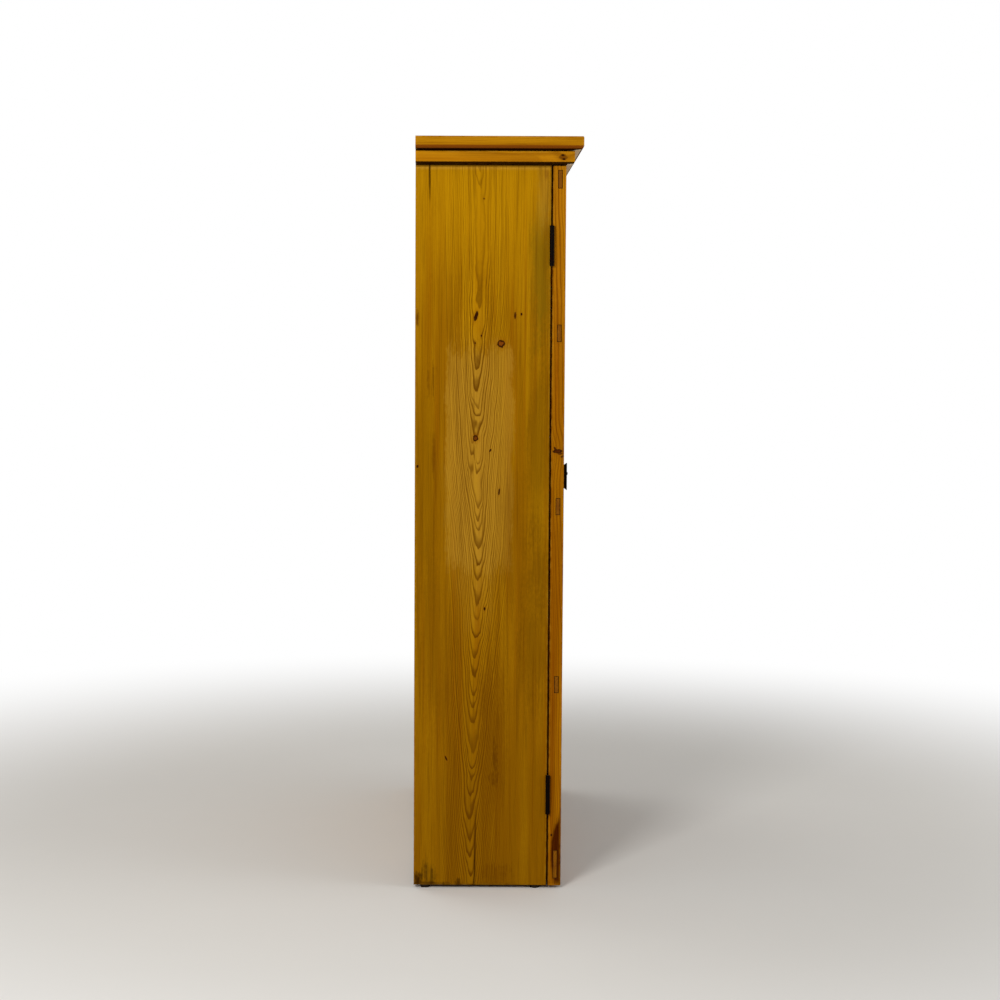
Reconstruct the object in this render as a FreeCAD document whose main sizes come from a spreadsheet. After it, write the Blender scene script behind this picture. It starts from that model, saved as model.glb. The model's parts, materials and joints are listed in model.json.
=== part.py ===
# Glazed cabinet: a shallow pine cupboard with a stepped cornice and two glazed doors.
# Millimetres, +Z up, the doors face -Y, the floor is z = 0 and the middle of the cabinet is x = 0.
import FreeCAD, Part
import os
import Sketcher

os.makedirs("parts", exist_ok=True)
doc = FreeCAD.newDocument("GlazedCabinet")

# Driving dimensions, one row of the sheet each
DRIVING = {
    "carcass_width": 864, "total_height": 1440, "side_depth": 257, "side_thickness": 22,
    "glide_height": 6, "glide_radius": 9, "glide_inset": 22,
    "cap_height": 24, "cap_projection": 31, "cap_lower_round": 7, "cap_upper_round": 3,
    "cornice_height": 23, "cornice_projection": 15, "cornice_bevel": 3, "shadow_gap": 2,
    "panel_thickness": 20, "housing_depth": 7, "bottom_clearance": 4, "head_set_down": 2,
    "back_thickness": 11, "back_rebate": 11, "back_bead": 3, "tongue_size": 4, "tongue_play": 0.2,
    "shelf_thickness": 18, "shelf_setback": 20, "shelf_play": 1, "cleat_size": 18, "cleat_length": 190,
    "door_gap": 3, "door_thickness": 25, "head_clearance": 3, "meeting_gap": 2,
    "stile_width": 50, "top_rail_height": 48, "bottom_rail_height": 74, "bar_height": 36,
    "upper_bar": 1073, "middle_bar": 743, "lower_bar": 399,
    "rebate_width": 8, "rebate_depth": 10, "sight_chamfer": 5, "glass_thickness": 3, "glass_play": 1,
    "tenon_thickness": 8, "tenon_play": 0.4, "bar_tenon": 32,
    "top_tenon": 34, "top_tenon_step": 6, "bottom_tenon": 55, "bottom_tenon_step": 14,
    "upper_hinge": 1238, "lower_hinge": 185, "hinge_height": 76, "knuckle_radius": 4.3,
    "knuckle_play": 0.3, "pin_radius": 2.3, "pin_offset": 4.7, "leaf_thickness": 1.4, "leaf_width": 19,
    "screw_head_radius": 3.2, "screw_shank_radius": 1.8, "screw_length": 15,
    "screw_pitch": 26, "screw_stagger": 3,
    "handle_projection": 37, "handle_height": 781, "handle_drop": 36, "handle_rise": 23,
    "handle_thickness": 9, "handle_taper": 6, "handle_width": 11, "rivet_height": 1.8, "rivet_radius": 2.2,
    "stem_radius": 5, "spindle_radius": 4, "rose_radius": 14, "rose_thickness": 2.5, "rose_play": 0.4,
    "running_clearance": 0.06, "fixed_clearance": 0.02,
    "catch_length": 44, "catch_width": 12, "catch_thickness": 3, "catch_stand_off": 1.5,
    "bolt_radius": 3.5, "bolt_stand_off": 11, "bolt_length": 84, "bolt_throw": 12, "bolt_clearance": 2,
    "bolt_plate_height": 76, "bolt_plate_width": 24, "bolt_plate_thickness": 2, "bolt_guide_height": 12,
    "check_depth": 9, "check_opening": 1.6, "upper_check_length": 102, "lower_check_length": 168,
}
sizes = doc.addObject("Spreadsheet::Sheet", "sizes")
for row, (alias, number) in enumerate(DRIVING.items(), start=1):
    sizes.set(f"A{row}", alias)
    sizes.set(f"B{row}", str(number))
    sizes.setAlias(f"B{row}", alias)
doc.recompute()

# Planes and lines that several pieces share, written as expressions of the sheet
HALF = "sizes.carcass_width / 2"
BACK = "(sizes.side_depth + sizes.door_gap + sizes.door_thickness + sizes.handle_projection) / 2"
INNER_BACK = f"({BACK} - sizes.back_thickness)"
SIDE_FRONT = f"({BACK} - sizes.side_depth)"
DOOR_BACK = f"({SIDE_FRONT} - sizes.door_gap)"
DOOR_FRONT = f"({DOOR_BACK} - sizes.door_thickness)"
INNER_HALF = f"({HALF} - sizes.side_thickness)"
FOOT = "sizes.glide_height"
TOP = "sizes.total_height"
CAP_UNDER = "(sizes.total_height - sizes.cap_height)"
CORNICE_TOP = f"({CAP_UNDER} - sizes.shadow_gap)"
CORNICE_UNDER = f"({CORNICE_TOP} - sizes.cornice_height)"
DOOR_TOP = f"({CORNICE_UNDER} - sizes.head_clearance)"
HEAD_TOP = f"({DOOR_TOP} - sizes.head_set_down)"
HEAD_UNDER = f"({HEAD_TOP} - sizes.panel_thickness)"
BOTTOM_UNDER = f"({FOOT} + sizes.bottom_clearance)"
BOTTOM_TOP = f"({BOTTOM_UNDER} + sizes.panel_thickness)"
SHELF_FRONT = f"({SIDE_FRONT} + sizes.shelf_setback)"
PIN_Y = f"({SIDE_FRONT} - sizes.door_gap / 2)"
PIN_OUT = f"({HALF} + sizes.pin_offset)"
HINGE_INNER = f"({HALF} - sizes.stile_width)"
MEETING_EDGE = "sizes.meeting_gap / 2"
MEETING_INNER = f"({MEETING_EDGE} + sizes.stile_width)"
HANDLE_X = f"({MEETING_EDGE} + sizes.stile_width / 2)"
SIDE_SIGNS = {"left": -1, "right": 1}
finished = []


# Building blocks
def value(expression):
    return float(sizes.evalExpression(expression))


def place(item, **base):
    for axis, expression in base.items():
        item.setExpression(f"Placement.Base.{axis}", expression)


def across(sign, near, far):
    """The low and high x of a piece that lies between two distances from the middle."""
    if sign > 0:
        return (near, far)
    return (f"-({far})", f"-({near})")


def block(name, x, y, z):
    """A rectangular piece between a low and a high expression on each axis."""
    item = doc.addObject("Part::Box", name)
    for axis, size, (low, high) in zip("xyz", ("Length", "Width", "Height"), (x, y, z)):
        item.setExpression(size, f"({high}) - ({low})")
        item.setExpression(f"Placement.Base.{axis}", low)
    return item


def rod(name, radius, length, x, y, z, along="z"):
    """A round piece; along is the direction it runs from its starting point."""
    item = doc.addObject("Part::Cylinder", name)
    item.setExpression("Radius", radius)
    item.setExpression("Height", length)
    turn = {"z": 0, "+y": -90, "-y": 90}[along]
    item.Placement = FreeCAD.Placement(FreeCAD.Vector(), FreeCAD.Rotation(FreeCAD.Vector(1, 0, 0), turn))
    place(item, x=x, y=y, z=z)
    return item


def outline_body(name, plane, points, length, **base):
    """A body padded from a closed outline whose corners are pairs of expressions."""
    body = doc.addObject("PartDesign::Body", name)
    sketch = body.newObject("Sketcher::SketchObject", f"{name}_outline")
    support = next(item for item in body.Origin.OriginFeatures if item.Role == plane)
    sketch.AttachmentSupport = [(support, "")]
    sketch.MapMode = "FlatFace"
    corners = [FreeCAD.Vector(value(right), value(up), 0) for right, up in points]
    count = len(points)
    for index in range(count):
        sketch.addGeometry(Part.LineSegment(corners[index], corners[(index + 1) % count]))
    for index in range(count):
        sketch.addConstraint(Sketcher.Constraint("Coincident", index, 2, (index + 1) % count, 1))
    for index, (right, up) in enumerate(points):
        for kind, expression in (("DistanceX", right), ("DistanceY", up)):
            bound = Sketcher.Constraint(kind, -1, 1, index, 1, value(expression))
            number = sketch.addConstraint(bound)
            sketch.setExpression(f"Constraints[{number}]", expression)
    pad = body.newObject("PartDesign::Pad", f"{name}_pad")
    pad.Profile = sketch
    pad.setExpression("Length", length)
    place(body, **base)
    return body


def joined(name, pieces):
    item = doc.addObject("Part::MultiFuse", name)
    item.Shapes = pieces
    return item


def cut(name, base, tools):
    item = doc.addObject("Part::Cut", name)
    item.Base = base
    item.Tool = tools[0] if len(tools) == 1 else joined(f"{name}_cutters", tools)
    return item


def group(name, pieces):
    item = doc.addObject("Part::Compound", name)
    item.Links = pieces
    return item


def keep(name, item):
    """Marks an object as a finished piece and gives it the piece's name."""
    item.Label = name
    finished.append(item)
    return item


def long_edges(body, axis, at):
    """The names of a body's edges that run along x or y at the given other two coordinates."""
    doc.recompute()
    names = []
    for number, edge in enumerate(body.Tip.Shape.Edges, start=1):
        box = edge.BoundBox
        reach = box.XLength if axis == "x" else box.YLength
        beside = box.YMin if axis == "x" else box.XMin
        flat = box.YLength < 0.01 if axis == "x" else box.XLength < 0.01
        if flat and reach > 50 and abs(beside - at[0]) < 0.01 and abs(box.ZMin - at[1]) < 0.01:
            names.append(f"Edge{number}")
    return names


def dressed(body, kind, axis, at, size_name, size):
    """Adds a fillet or a chamfer along one long edge of a body."""
    edges = long_edges(body, axis, at)
    feature = body.newObject(f"PartDesign::{kind}", f"{body.Name}_{kind.lower()}_{len(body.Group)}")
    feature.Base = (body.Group[-2], edges)
    feature.setExpression(size_name, size)
    body.Tip = feature


# Wood screws: countersunk head in the leaf, shank in the wood behind it
def wood_screw(name, x, face, z, into):
    head = doc.addObject("Part::Cone", f"{name}_head")
    head.setExpression("Radius1", "sizes.screw_head_radius")
    head.setExpression("Radius2", "sizes.screw_shank_radius")
    head.setExpression("Height", "sizes.leaf_thickness")
    turn = -90 if into == "+y" else 90
    head.Placement = FreeCAD.Placement(FreeCAD.Vector(), FreeCAD.Rotation(FreeCAD.Vector(1, 0, 0), turn))
    place(head, x=x, y=face, z=z)
    length = "sizes.leaf_thickness + sizes.screw_length"
    shank = rod(f"{name}_shank", "sizes.screw_shank_radius", length, x, face, z, into)
    return joined(name, [head, shank])


# Butt hinges: five knuckles, three on the carcass leaf and two on the door leaf
def butt_hinge(name, sign, height):
    """Returns the carcass leaf, the door leaf, the pin and the two sets of screws."""
    low = f"({height} - sizes.hinge_height / 2)"
    high = f"({height} + sizes.hinge_height / 2)"
    pitch = "(sizes.hinge_height / 5)"
    pin_x = f"{sign} * {PIN_OUT}"
    carcass_y = (f"{SIDE_FRONT} - sizes.leaf_thickness", SIDE_FRONT)
    door_y = (DOOR_BACK, f"{DOOR_BACK} + sizes.leaf_thickness")
    plate_x = across(sign, f"{HALF} - sizes.leaf_width", f"{HALF} - sizes.knuckle_play")
    leaves = []
    screw_sets = []
    for leaf, leaf_y, knuckles, face, into, clearance in (
        ("carcass", carcass_y, (0, 2, 4), carcass_y[0], "+y", "sizes.fixed_clearance"),
        ("door", door_y, (1, 3), door_y[1], "-y", "sizes.running_clearance"),
    ):
        solid = [block(f"{name}_{leaf}_plate", plate_x, leaf_y, (low, high))]
        for number in knuckles:
            start = f"{low} + {number} * {pitch} + sizes.knuckle_play / 2"
            length = f"{pitch} - sizes.knuckle_play"
            label = f"{name}_{leaf}_knuckle_{number + 1}"
            solid.append(rod(label, "sizes.knuckle_radius", length, pin_x, PIN_Y, start))
            web_x = across(sign, f"{HALF} - 1", PIN_OUT)
            solid.append(block(f"{label}_web", web_x, leaf_y, (start, f"{start} + {length}")))
        bore_radius = f"sizes.pin_radius + {clearance}"
        bore = rod(f"{name}_{leaf}_bore", bore_radius, "sizes.hinge_height", pin_x, PIN_Y, low)
        screws = []
        for number, (step, stagger) in enumerate(((-1, 1), (0, -1), (1, 1)), start=1):
            screw_x = f"{sign} * ({HALF} - sizes.leaf_width / 2 + {stagger} * sizes.screw_stagger)"
            screw_z = f"{height} + {step} * sizes.screw_pitch"
            screws.append(wood_screw(f"{name}_{leaf}_screw_{number}", screw_x, face, screw_z, into))
        leaves.append(cut(f"{name}_{leaf}_leaf", joined(f"{name}_{leaf}_stock", solid), [bore, *screws]))
        screw_sets.append(screws)
    pin = rod(f"{name}_pin", "sizes.pin_radius", "sizes.hinge_height", pin_x, PIN_Y, low)
    return leaves[0], leaves[1], pin, screw_sets[0], screw_sets[1]


hinges = {}
for side, sign in SIDE_SIGNS.items():
    hinges[side] = []
    for level in ("upper", "lower"):
        hinges[side].append(butt_hinge(f"{side}_{level}_hinge", sign, f"sizes.{level}_hinge"))
all_hinges = hinges["left"] + hinges["right"]
keep("carcass_hinge_leaves", group("leaves_on_carcass", [hinge[0] for hinge in all_hinges]))
keep("hinge_pins", group("pins", [hinge[2] for hinge in all_hinges]))
carcass_screws = [screw for hinge in all_hinges for screw in hinge[3]]
keep("carcass_hinge_screws", group("screws_in_carcass", carcass_screws))

# Sides: one wide board each, rebated for the back and housed for the head and the bottom
DEPTH = (SIDE_FRONT, BACK)
PANEL_DEPTH = (SIDE_FRONT, INNER_BACK)


def shrinkage_check(name, end_z, tip_z, from_back):
    """A thin wedge that opens toward the end of the left board."""
    middle = f"({BACK} - {from_back})"
    points = [
        (f"{middle} - sizes.check_opening / 2", end_z),
        (f"{middle} + sizes.check_opening / 2", end_z),
        (f"{middle} - 2 * sizes.check_opening", tip_z),
    ]
    return outline_body(name, "YZ_Plane", points, "sizes.check_depth", x=f"-{HALF}")


for side, sign in SIDE_SIGNS.items():
    side_x = across(sign, INNER_HALF, HALF)
    housing_x = across(sign, INNER_HALF, f"{INNER_HALF} + sizes.housing_depth")
    rebate_x = across(sign, INNER_HALF, f"{INNER_HALF} + sizes.back_rebate")
    cutters = [
        block(f"{side}_head_housing", housing_x, PANEL_DEPTH, (HEAD_UNDER, HEAD_TOP)),
        block(f"{side}_bottom_housing", housing_x, PANEL_DEPTH, (BOTTOM_UNDER, BOTTOM_TOP)),
        block(f"{side}_back_rebate", rebate_x, (INNER_BACK, BACK), (BOTTOM_UNDER, CAP_UNDER)),
    ]
    for hinge in hinges[side]:
        cutters.extend(hinge[3])
    if side == "left":
        upper_tip = f"{CAP_UNDER} - sizes.upper_check_length"
        lower_tip = f"{FOOT} + sizes.lower_check_length"
        cutters.append(shrinkage_check("upper_check", CAP_UNDER, upper_tip, "sizes.side_depth / 10"))
        cutters.append(shrinkage_check("lower_check", FOOT, lower_tip, "sizes.side_depth * 0.455"))
    stock = block(f"{side}_side_stock", side_x, DEPTH, (FOOT, CAP_UNDER))
    keep(f"{side}_side", cut(f"{side}_side_cut", stock, cutters))

# Head and bottom boards, housed into the sides; the head is bored for the bolt
BOLT_X = f"-({HANDLE_X})"
BOLT_Y = f"({DOOR_BACK} + sizes.bolt_stand_off)"
HOUSED = f"{INNER_HALF} + sizes.housing_depth"
head_stock = block("head_stock", across(1, f"-({HOUSED})", HOUSED), PANEL_DEPTH, (HEAD_UNDER, HEAD_TOP))
bolt_hole = rod("bolt_hole", "sizes.bolt_radius + 0.7", "sizes.bolt_throw", BOLT_X, BOLT_Y, HEAD_UNDER)
keep("head_board", cut("head_board_cut", head_stock, [bolt_hole]))
bottom_z = (BOTTOM_UNDER, BOTTOM_TOP)
keep("bottom_board", block("bottom_board_stock", across(1, f"-({HOUSED})", HOUSED), PANEL_DEPTH, bottom_z))

# Head rail over the doors and the top board that rests on the sides and the rail
FULL = (f"-{HALF}", HALF)
keep("head_rail", block("head_rail_stock", FULL, (DOOR_FRONT, SIDE_FRONT), (CORNICE_UNDER, CAP_UNDER)))
keep("top_board", block("top_board_stock", FULL, (DOOR_FRONT, BACK), (CAP_UNDER, TOP)))


# Cornice: two rows of strips, mitred at the front corners
def strip_plans(projection):
    """Plan outlines of the front, left and right strips that stand out by one projection."""
    out = f"({HALF} + sizes.{projection})"
    face = f"({DOOR_FRONT} - sizes.{projection})"
    plans = {"front": [(f"-{HALF}", DOOR_FRONT), (f"-{out}", face), (out, face), (HALF, DOOR_FRONT)]}
    for side, sign in SIDE_SIGNS.items():
        inner, outer = f"{sign} * {HALF}", f"{sign} * {out}"
        plans[side] = [(inner, BACK), (outer, BACK), (outer, face), (inner, DOOR_FRONT)]
    return plans, out, face


rows = {
    "cornice": (CORNICE_UNDER, "sizes.cornice_height", "cornice_projection"),
    "cap": (CAP_UNDER, "sizes.cap_height", "cap_projection"),
}
for row, (under, height, projection) in rows.items():
    plans, out, face = strip_plans(projection)
    for where, plan in plans.items():
        strip = outline_body(f"{row}_{where}_strip", "XY_Plane", plan, height, z=under)
        axis = "x" if where == "front" else "y"
        beside = value(face) if where == "front" else SIDE_SIGNS[where] * value(out)
        if row == "cornice":
            dressed(strip, "Chamfer", axis, (beside, 0), "Size", "sizes.cornice_bevel")
        else:
            dressed(strip, "Fillet", axis, (beside, 0), "Radius", "sizes.cap_lower_round")
            dressed(strip, "Fillet", axis, (beside, value(height)), "Radius", "sizes.cap_upper_round")
        keep(f"{row}_{where}", strip)

# Back: five upright boards, tongued and grooved with a small V at each joint
BACK_COUNT = 5
BACK_HALF = f"({INNER_HALF} + sizes.back_rebate)"
board_width = f"(2 * {BACK_HALF} / {BACK_COUNT})"
third = "(sizes.back_thickness / 3)"
groove_rear = f"{BACK} - {third} + sizes.tongue_play"
groove_face = f"{BACK} - 2 * {third} - sizes.tongue_play"
board_length = f"{CAP_UNDER} - {BOTTOM_UNDER}"
for number in range(BACK_COUNT):
    left = f"(-{BACK_HALF} + {number} * {board_width})"
    right = f"(-{BACK_HALF} + {number + 1} * {board_width})"
    points = [(left, BACK)]
    if number:
        groove = f"{left} + sizes.tongue_size + sizes.tongue_play"
        points += [
            (left, groove_rear), (groove, groove_rear), (groove, groove_face), (left, groove_face),
        ]
        points += [(left, f"{INNER_BACK} + sizes.back_bead"), (f"{left} + sizes.back_bead", INNER_BACK)]
    else:
        points += [(left, INNER_BACK)]
    if number < BACK_COUNT - 1:
        tongue = f"{right} + sizes.tongue_size"
        points += [(f"{right} - sizes.back_bead", INNER_BACK), (right, f"{INNER_BACK} + sizes.back_bead")]
        points += [
            (right, f"{BACK} - 2 * {third}"), (tongue, f"{BACK} - 2 * {third}"),
            (tongue, f"{BACK} - {third}"), (right, f"{BACK} - {third}"),
        ]
    else:
        points += [(right, INNER_BACK)]
    points += [(right, BACK)]
    board = outline_body(f"back_{number + 1}", "XY_Plane", points, board_length, z=BOTTOM_UNDER)
    keep(f"back_board_{number + 1}", board)

# Shelves at the height of the doors' bars, each on a cleat at either end
cleats = []
for level in ("upper", "middle", "lower"):
    under = f"(sizes.{level}_bar - sizes.shelf_thickness / 2)"
    end = f"({INNER_HALF} - sizes.shelf_play)"
    shelf_z = (under, f"{under} + sizes.shelf_thickness")
    shelf = block(f"{level}_shelf_stock", (f"-{end}", end), (SHELF_FRONT, INNER_BACK), shelf_z)
    keep(f"{level}_shelf", shelf)
    cleat_front = f"({INNER_BACK} - sizes.cleat_length)"
    profile = [
        (INNER_BACK, f"{under} - sizes.cleat_size"), (INNER_BACK, under), (cleat_front, under),
        (cleat_front, f"{under} - sizes.cleat_size / 2"),
        (f"{cleat_front} + sizes.cleat_size / 2", f"{under} - sizes.cleat_size"),
    ]
    for side, sign in SIDE_SIGNS.items():
        start = across(sign, f"{INNER_HALF} - sizes.cleat_size", INNER_HALF)[0]
        cleats.append(outline_body(f"{level}_{side}_cleat", "YZ_Plane", profile, "sizes.cleat_size", x=start))
keep("shelf_cleats", group("cleats", cleats))

# Glides under the four corners of the sides
glides = []
for side, sign in SIDE_SIGNS.items():
    glide_x = f"{sign} * ({HALF} - sizes.side_thickness / 2)"
    ends = {"front": f"{SIDE_FRONT} + sizes.glide_inset", "rear": f"{BACK} - sizes.glide_inset"}
    for end, glide_y in ends.items():
        name = f"{side}_{end}_glide"
        glides.append(rod(name, "sizes.glide_radius", "sizes.glide_height", glide_x, glide_y, "0"))
keep("glides", group("glide_set", glides))

# Doors: rails and bars with tenons that run right through the stiles, glass in rebates held by beads
TENON_FRONT = f"({DOOR_BACK} - sizes.rebate_depth - sizes.tenon_thickness)"
TENON_BACK = f"({DOOR_BACK} - sizes.rebate_depth)"
GLASS_BACK = f"({TENON_BACK} + sizes.glass_thickness)"
BAR_LEVELS = ("upper", "middle", "lower")
rails = {
    "top_rail": (f"({DOOR_TOP} - sizes.top_rail_height)", DOOR_TOP),
    "bottom_rail": (FOOT, f"({FOOT} + sizes.bottom_rail_height)"),
}
top_tenon_low = f"({rails['top_rail'][0]} + sizes.top_tenon_step)"
bottom_tenon_low = f"({FOOT} + sizes.bottom_tenon_step)"
tenons = {
    "top_rail": (top_tenon_low, f"({top_tenon_low} + sizes.top_tenon)"),
    "bottom_rail": (bottom_tenon_low, f"({bottom_tenon_low} + sizes.bottom_tenon)"),
}
for level in BAR_LEVELS:
    rails[f"{level}_bar"] = tuple(f"(sizes.{level}_bar {way} sizes.bar_height / 2)" for way in "-+")
    tenons[f"{level}_bar"] = tuple(f"(sizes.{level}_bar {way} sizes.bar_tenon / 2)" for way in "-+")
order = ["bottom_rail", "lower_bar", "middle_bar", "upper_bar", "top_rail"]
sights = [(rails[below][1], rails[above][0]) for below, above in zip(order, order[1:])]


def rail_profile(low, high, glazed_below, glazed_above):
    """Section of a rail: a rebate behind and a chamfer in front on each glazed edge."""
    points = []
    chamfered = f"{DOOR_FRONT} + sizes.sight_chamfer"
    if glazed_below:
        step = f"{low} + sizes.rebate_width"
        points += [(DOOR_FRONT, f"{low} + sizes.sight_chamfer"), (chamfered, low)]
        points += [(TENON_BACK, low), (TENON_BACK, step), (DOOR_BACK, step)]
    else:
        points += [(DOOR_FRONT, low), (DOOR_BACK, low)]
    if glazed_above:
        step = f"{high} - sizes.rebate_width"
        points += [(DOOR_BACK, step), (TENON_BACK, step), (TENON_BACK, high)]
        points += [(chamfered, high), (DOOR_FRONT, f"{high} - sizes.sight_chamfer")]
    else:
        points += [(DOOR_BACK, high), (DOOR_FRONT, high)]
    return points


def stile_cutters(side, stile, sign, edge, into):
    """Mortises, glass rebates and front chamfers of a stile; edge is its glazed edge, into points inward."""
    near, far = (MEETING_EDGE, MEETING_INNER) if stile == "meeting" else (HINGE_INNER, HALF)
    cutters = []
    for rail in order:
        low, high = tenons[rail]
        mortise_y = (f"{TENON_FRONT} - sizes.tenon_play", f"{TENON_BACK} + sizes.tenon_play")
        mortise_z = (f"{low} - sizes.tenon_play", f"{high} + sizes.tenon_play")
        cutters.append(block(f"{side}_{stile}_{rail}_mortise", across(sign, near, far), mortise_y, mortise_z))
    for number, (low, high) in enumerate(sights, start=1):
        deep = f"{edge} + {into} * sizes.rebate_width"
        rebate_x = across(sign, *((deep, edge) if into < 0 else (edge, deep)))
        rebate_z = (f"{low} - sizes.rebate_width", f"{high} + sizes.rebate_width")
        cutters.append(block(f"{side}_{stile}_rebate_{number}", rebate_x, (TENON_BACK, DOOR_BACK), rebate_z))
        wedge = [
            (f"{sign} * ({edge})", DOOR_FRONT),
            (f"{sign} * ({edge} + {into} * sizes.sight_chamfer)", DOOR_FRONT),
            (f"{sign} * ({edge})", f"{DOOR_FRONT} + sizes.sight_chamfer"),
        ]
        label = f"{side}_{stile}_chamfer_{number}"
        cutters.append(outline_body(label, "XY_Plane", wedge, f"{high} - ({low})", z=low))
    return cutters


spindle_hole = rod(
    "spindle_hole", "sizes.spindle_radius + sizes.running_clearance", "sizes.door_thickness + 2",
    HANDLE_X, f"{DOOR_BACK} + 1", "sizes.handle_height", "-y")

for side, sign in SIDE_SIGNS.items():
    door_y = (DOOR_FRONT, DOOR_BACK)
    stiles = {
        "hinge": (HINGE_INNER, HALF, HINGE_INNER, 1),
        "meeting": (MEETING_EDGE, MEETING_INNER, MEETING_INNER, -1),
    }
    for stile, (near, far, edge, into) in stiles.items():
        stock = block(f"{side}_{stile}_stock", across(sign, near, far), door_y, (FOOT, DOOR_TOP))
        cutters = stile_cutters(side, stile, sign, edge, into)
        if stile == "hinge":
            for hinge in hinges[side]:
                cutters.extend(hinge[4])
        elif side == "right":
            cutters.append(spindle_hole)
        keep(f"{side}_{stile}_stile", cut(f"{side}_{stile}_cut", stock, cutters))
    for rail in order:
        low, high = rails[rail]
        profile = rail_profile(low, high, rail != "bottom_rail", rail != "top_rail")
        sight_x = across(sign, MEETING_INNER, HINGE_INNER)
        length = f"{HINGE_INNER} - ({MEETING_INNER})"
        middle = outline_body(f"{side}_{rail}_profile", "YZ_Plane", profile, length, x=sight_x[0])
        tenon_x = across(sign, MEETING_EDGE, HALF)
        tenon = block(f"{side}_{rail}_tenon", tenon_x, (TENON_FRONT, TENON_BACK), tenons[rail])
        keep(f"{side}_{rail}", joined(f"{side}_{rail}_joined", [middle, tenon]))
    beads = []
    for number, (low, high) in enumerate(sights, start=1):
        margin = "(sizes.rebate_width - sizes.glass_play)"
        pane_x = across(sign, f"{MEETING_INNER} - {margin}", f"{HINGE_INNER} + {margin}")
        pane_z = (f"{low} - {margin}", f"{high} + {margin}")
        pane = block(f"{side}_glass_{number}", pane_x, (TENON_BACK, GLASS_BACK), pane_z)
        keep(f"{side}_pane_{number}", pane)
        x_low, x_high = across(sign, MEETING_INNER, HINGE_INNER)
        inside = [(x_low, low), (x_high, low), (x_high, high), (x_low, high)]
        ways = [("-", "-"), ("+", "-"), ("+", "+"), ("-", "+")]
        outside = []
        for (x, z), (way_x, way_z) in zip(inside, ways):
            outside.append((f"{x} {way_x} sizes.rebate_width", f"{z} {way_z} sizes.rebate_width"))
        for edge in range(4):
            after = (edge + 1) % 4
            plan = [outside[edge], outside[after], inside[after], inside[edge]]
            label = f"{side}_bead_{number}_{edge + 1}"
            depth = "sizes.rebate_depth - sizes.glass_thickness"
            beads.append(outline_body(label, "XZ_Plane", plan, depth, y=DOOR_BACK))
    keep(f"{side}_glazing_beads", group(f"{side}_bead_set", beads))
    keep(f"{side}_door_hinge_leaves", group(f"{side}_leaves", [hinge[1] for hinge in hinges[side]]))
    door_screws = [screw for hinge in hinges[side] for screw in hinge[4]]
    keep(f"{side}_door_hinge_screws", group(f"{side}_screws", door_screws))

# Turn handle on the right door: rose, bar with a stem, spindle through the stile and a catch behind it
RIVET_FRONT = f"({DOOR_FRONT} - sizes.handle_projection)"
BAR_FRONT = f"({RIVET_FRONT} + sizes.rivet_height)"
BAR_BACK = f"({BAR_FRONT} + sizes.handle_thickness)"
ROSE_FRONT = f"({DOOR_FRONT} - sizes.rose_thickness)"
CATCH_FRONT = f"({DOOR_BACK} + sizes.catch_stand_off)"
CATCH_BACK = f"({CATCH_FRONT} + sizes.catch_thickness)"
HANDLE_Z = "sizes.handle_height"
FIXED_BORE = "sizes.spindle_radius + sizes.fixed_clearance"


def spindle_rod(name, radius, rear, front):
    """A round piece on the handle's axis between a rear and a front plane."""
    return rod(name, radius, f"{rear} - {front}", HANDLE_X, rear, HANDLE_Z, "-y")


rose_bore = spindle_rod("rose_bore", "sizes.spindle_radius + sizes.running_clearance", DOOR_FRONT, ROSE_FRONT)
rose_disc = spindle_rod("rose_disc", "sizes.rose_radius", DOOR_FRONT, ROSE_FRONT)
keep("handle_rose", cut("rose_cut", rose_disc, [rose_bore]))

bar_low = f"({HANDLE_Z} - sizes.handle_drop)"
bar_high = f"({HANDLE_Z} + sizes.handle_rise)"
bar_profile = [
    (BAR_FRONT, bar_low), (BAR_FRONT, bar_high),
    (BAR_BACK, f"{bar_high} - sizes.handle_taper"), (BAR_BACK, f"{bar_low} + sizes.handle_taper"),
]
bar_start = f"{HANDLE_X} - sizes.handle_width / 2"
bar = outline_body("handle_bar", "YZ_Plane", bar_profile, "sizes.handle_width", x=bar_start)
stem = spindle_rod("handle_stem", "sizes.stem_radius", f"({ROSE_FRONT} - sizes.rose_play)", BAR_BACK)
handle_bore = spindle_rod("handle_bore", FIXED_BORE, DOOR_FRONT, BAR_FRONT)
keep("turn_handle", cut("handle_cut", joined("handle_stock", [bar, stem]), [handle_bore]))

SPINDLE_REAR = f"({CATCH_BACK} + 1)"
shaft = spindle_rod("spindle_shaft", "sizes.spindle_radius", SPINDLE_REAR, BAR_FRONT)
rivet = doc.addObject("Part::Cone", "spindle_rivet")
rivet.setExpression("Radius1", "sizes.spindle_radius")
rivet.setExpression("Radius2", "sizes.rivet_radius")
rivet.setExpression("Height", "sizes.rivet_height")
rivet.Placement = FreeCAD.Placement(FreeCAD.Vector(), FreeCAD.Rotation(FreeCAD.Vector(1, 0, 0), 90))
place(rivet, x=HANDLE_X, y=BAR_FRONT, z=HANDLE_Z)
keep("handle_spindle", joined("spindle_joined", [shaft, rivet]))

catch_x = (f"{HANDLE_X} - sizes.catch_width / 2", f"{HANDLE_X} + sizes.catch_width / 2")
catch_z = (f"{HANDLE_Z} - sizes.catch_length", HANDLE_Z)
catch_arm = block("catch_arm", catch_x, (CATCH_FRONT, CATCH_BACK), catch_z)
catch_hub = spindle_rod("catch_hub", "sizes.catch_width / 2 + 2", CATCH_BACK, CATCH_FRONT)
catch_bore = spindle_rod("catch_bore", FIXED_BORE, CATCH_BACK, CATCH_FRONT)
keep("handle_catch", cut("catch_cut", joined("catch_stock", [catch_arm, catch_hub]), [catch_bore]))

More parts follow.
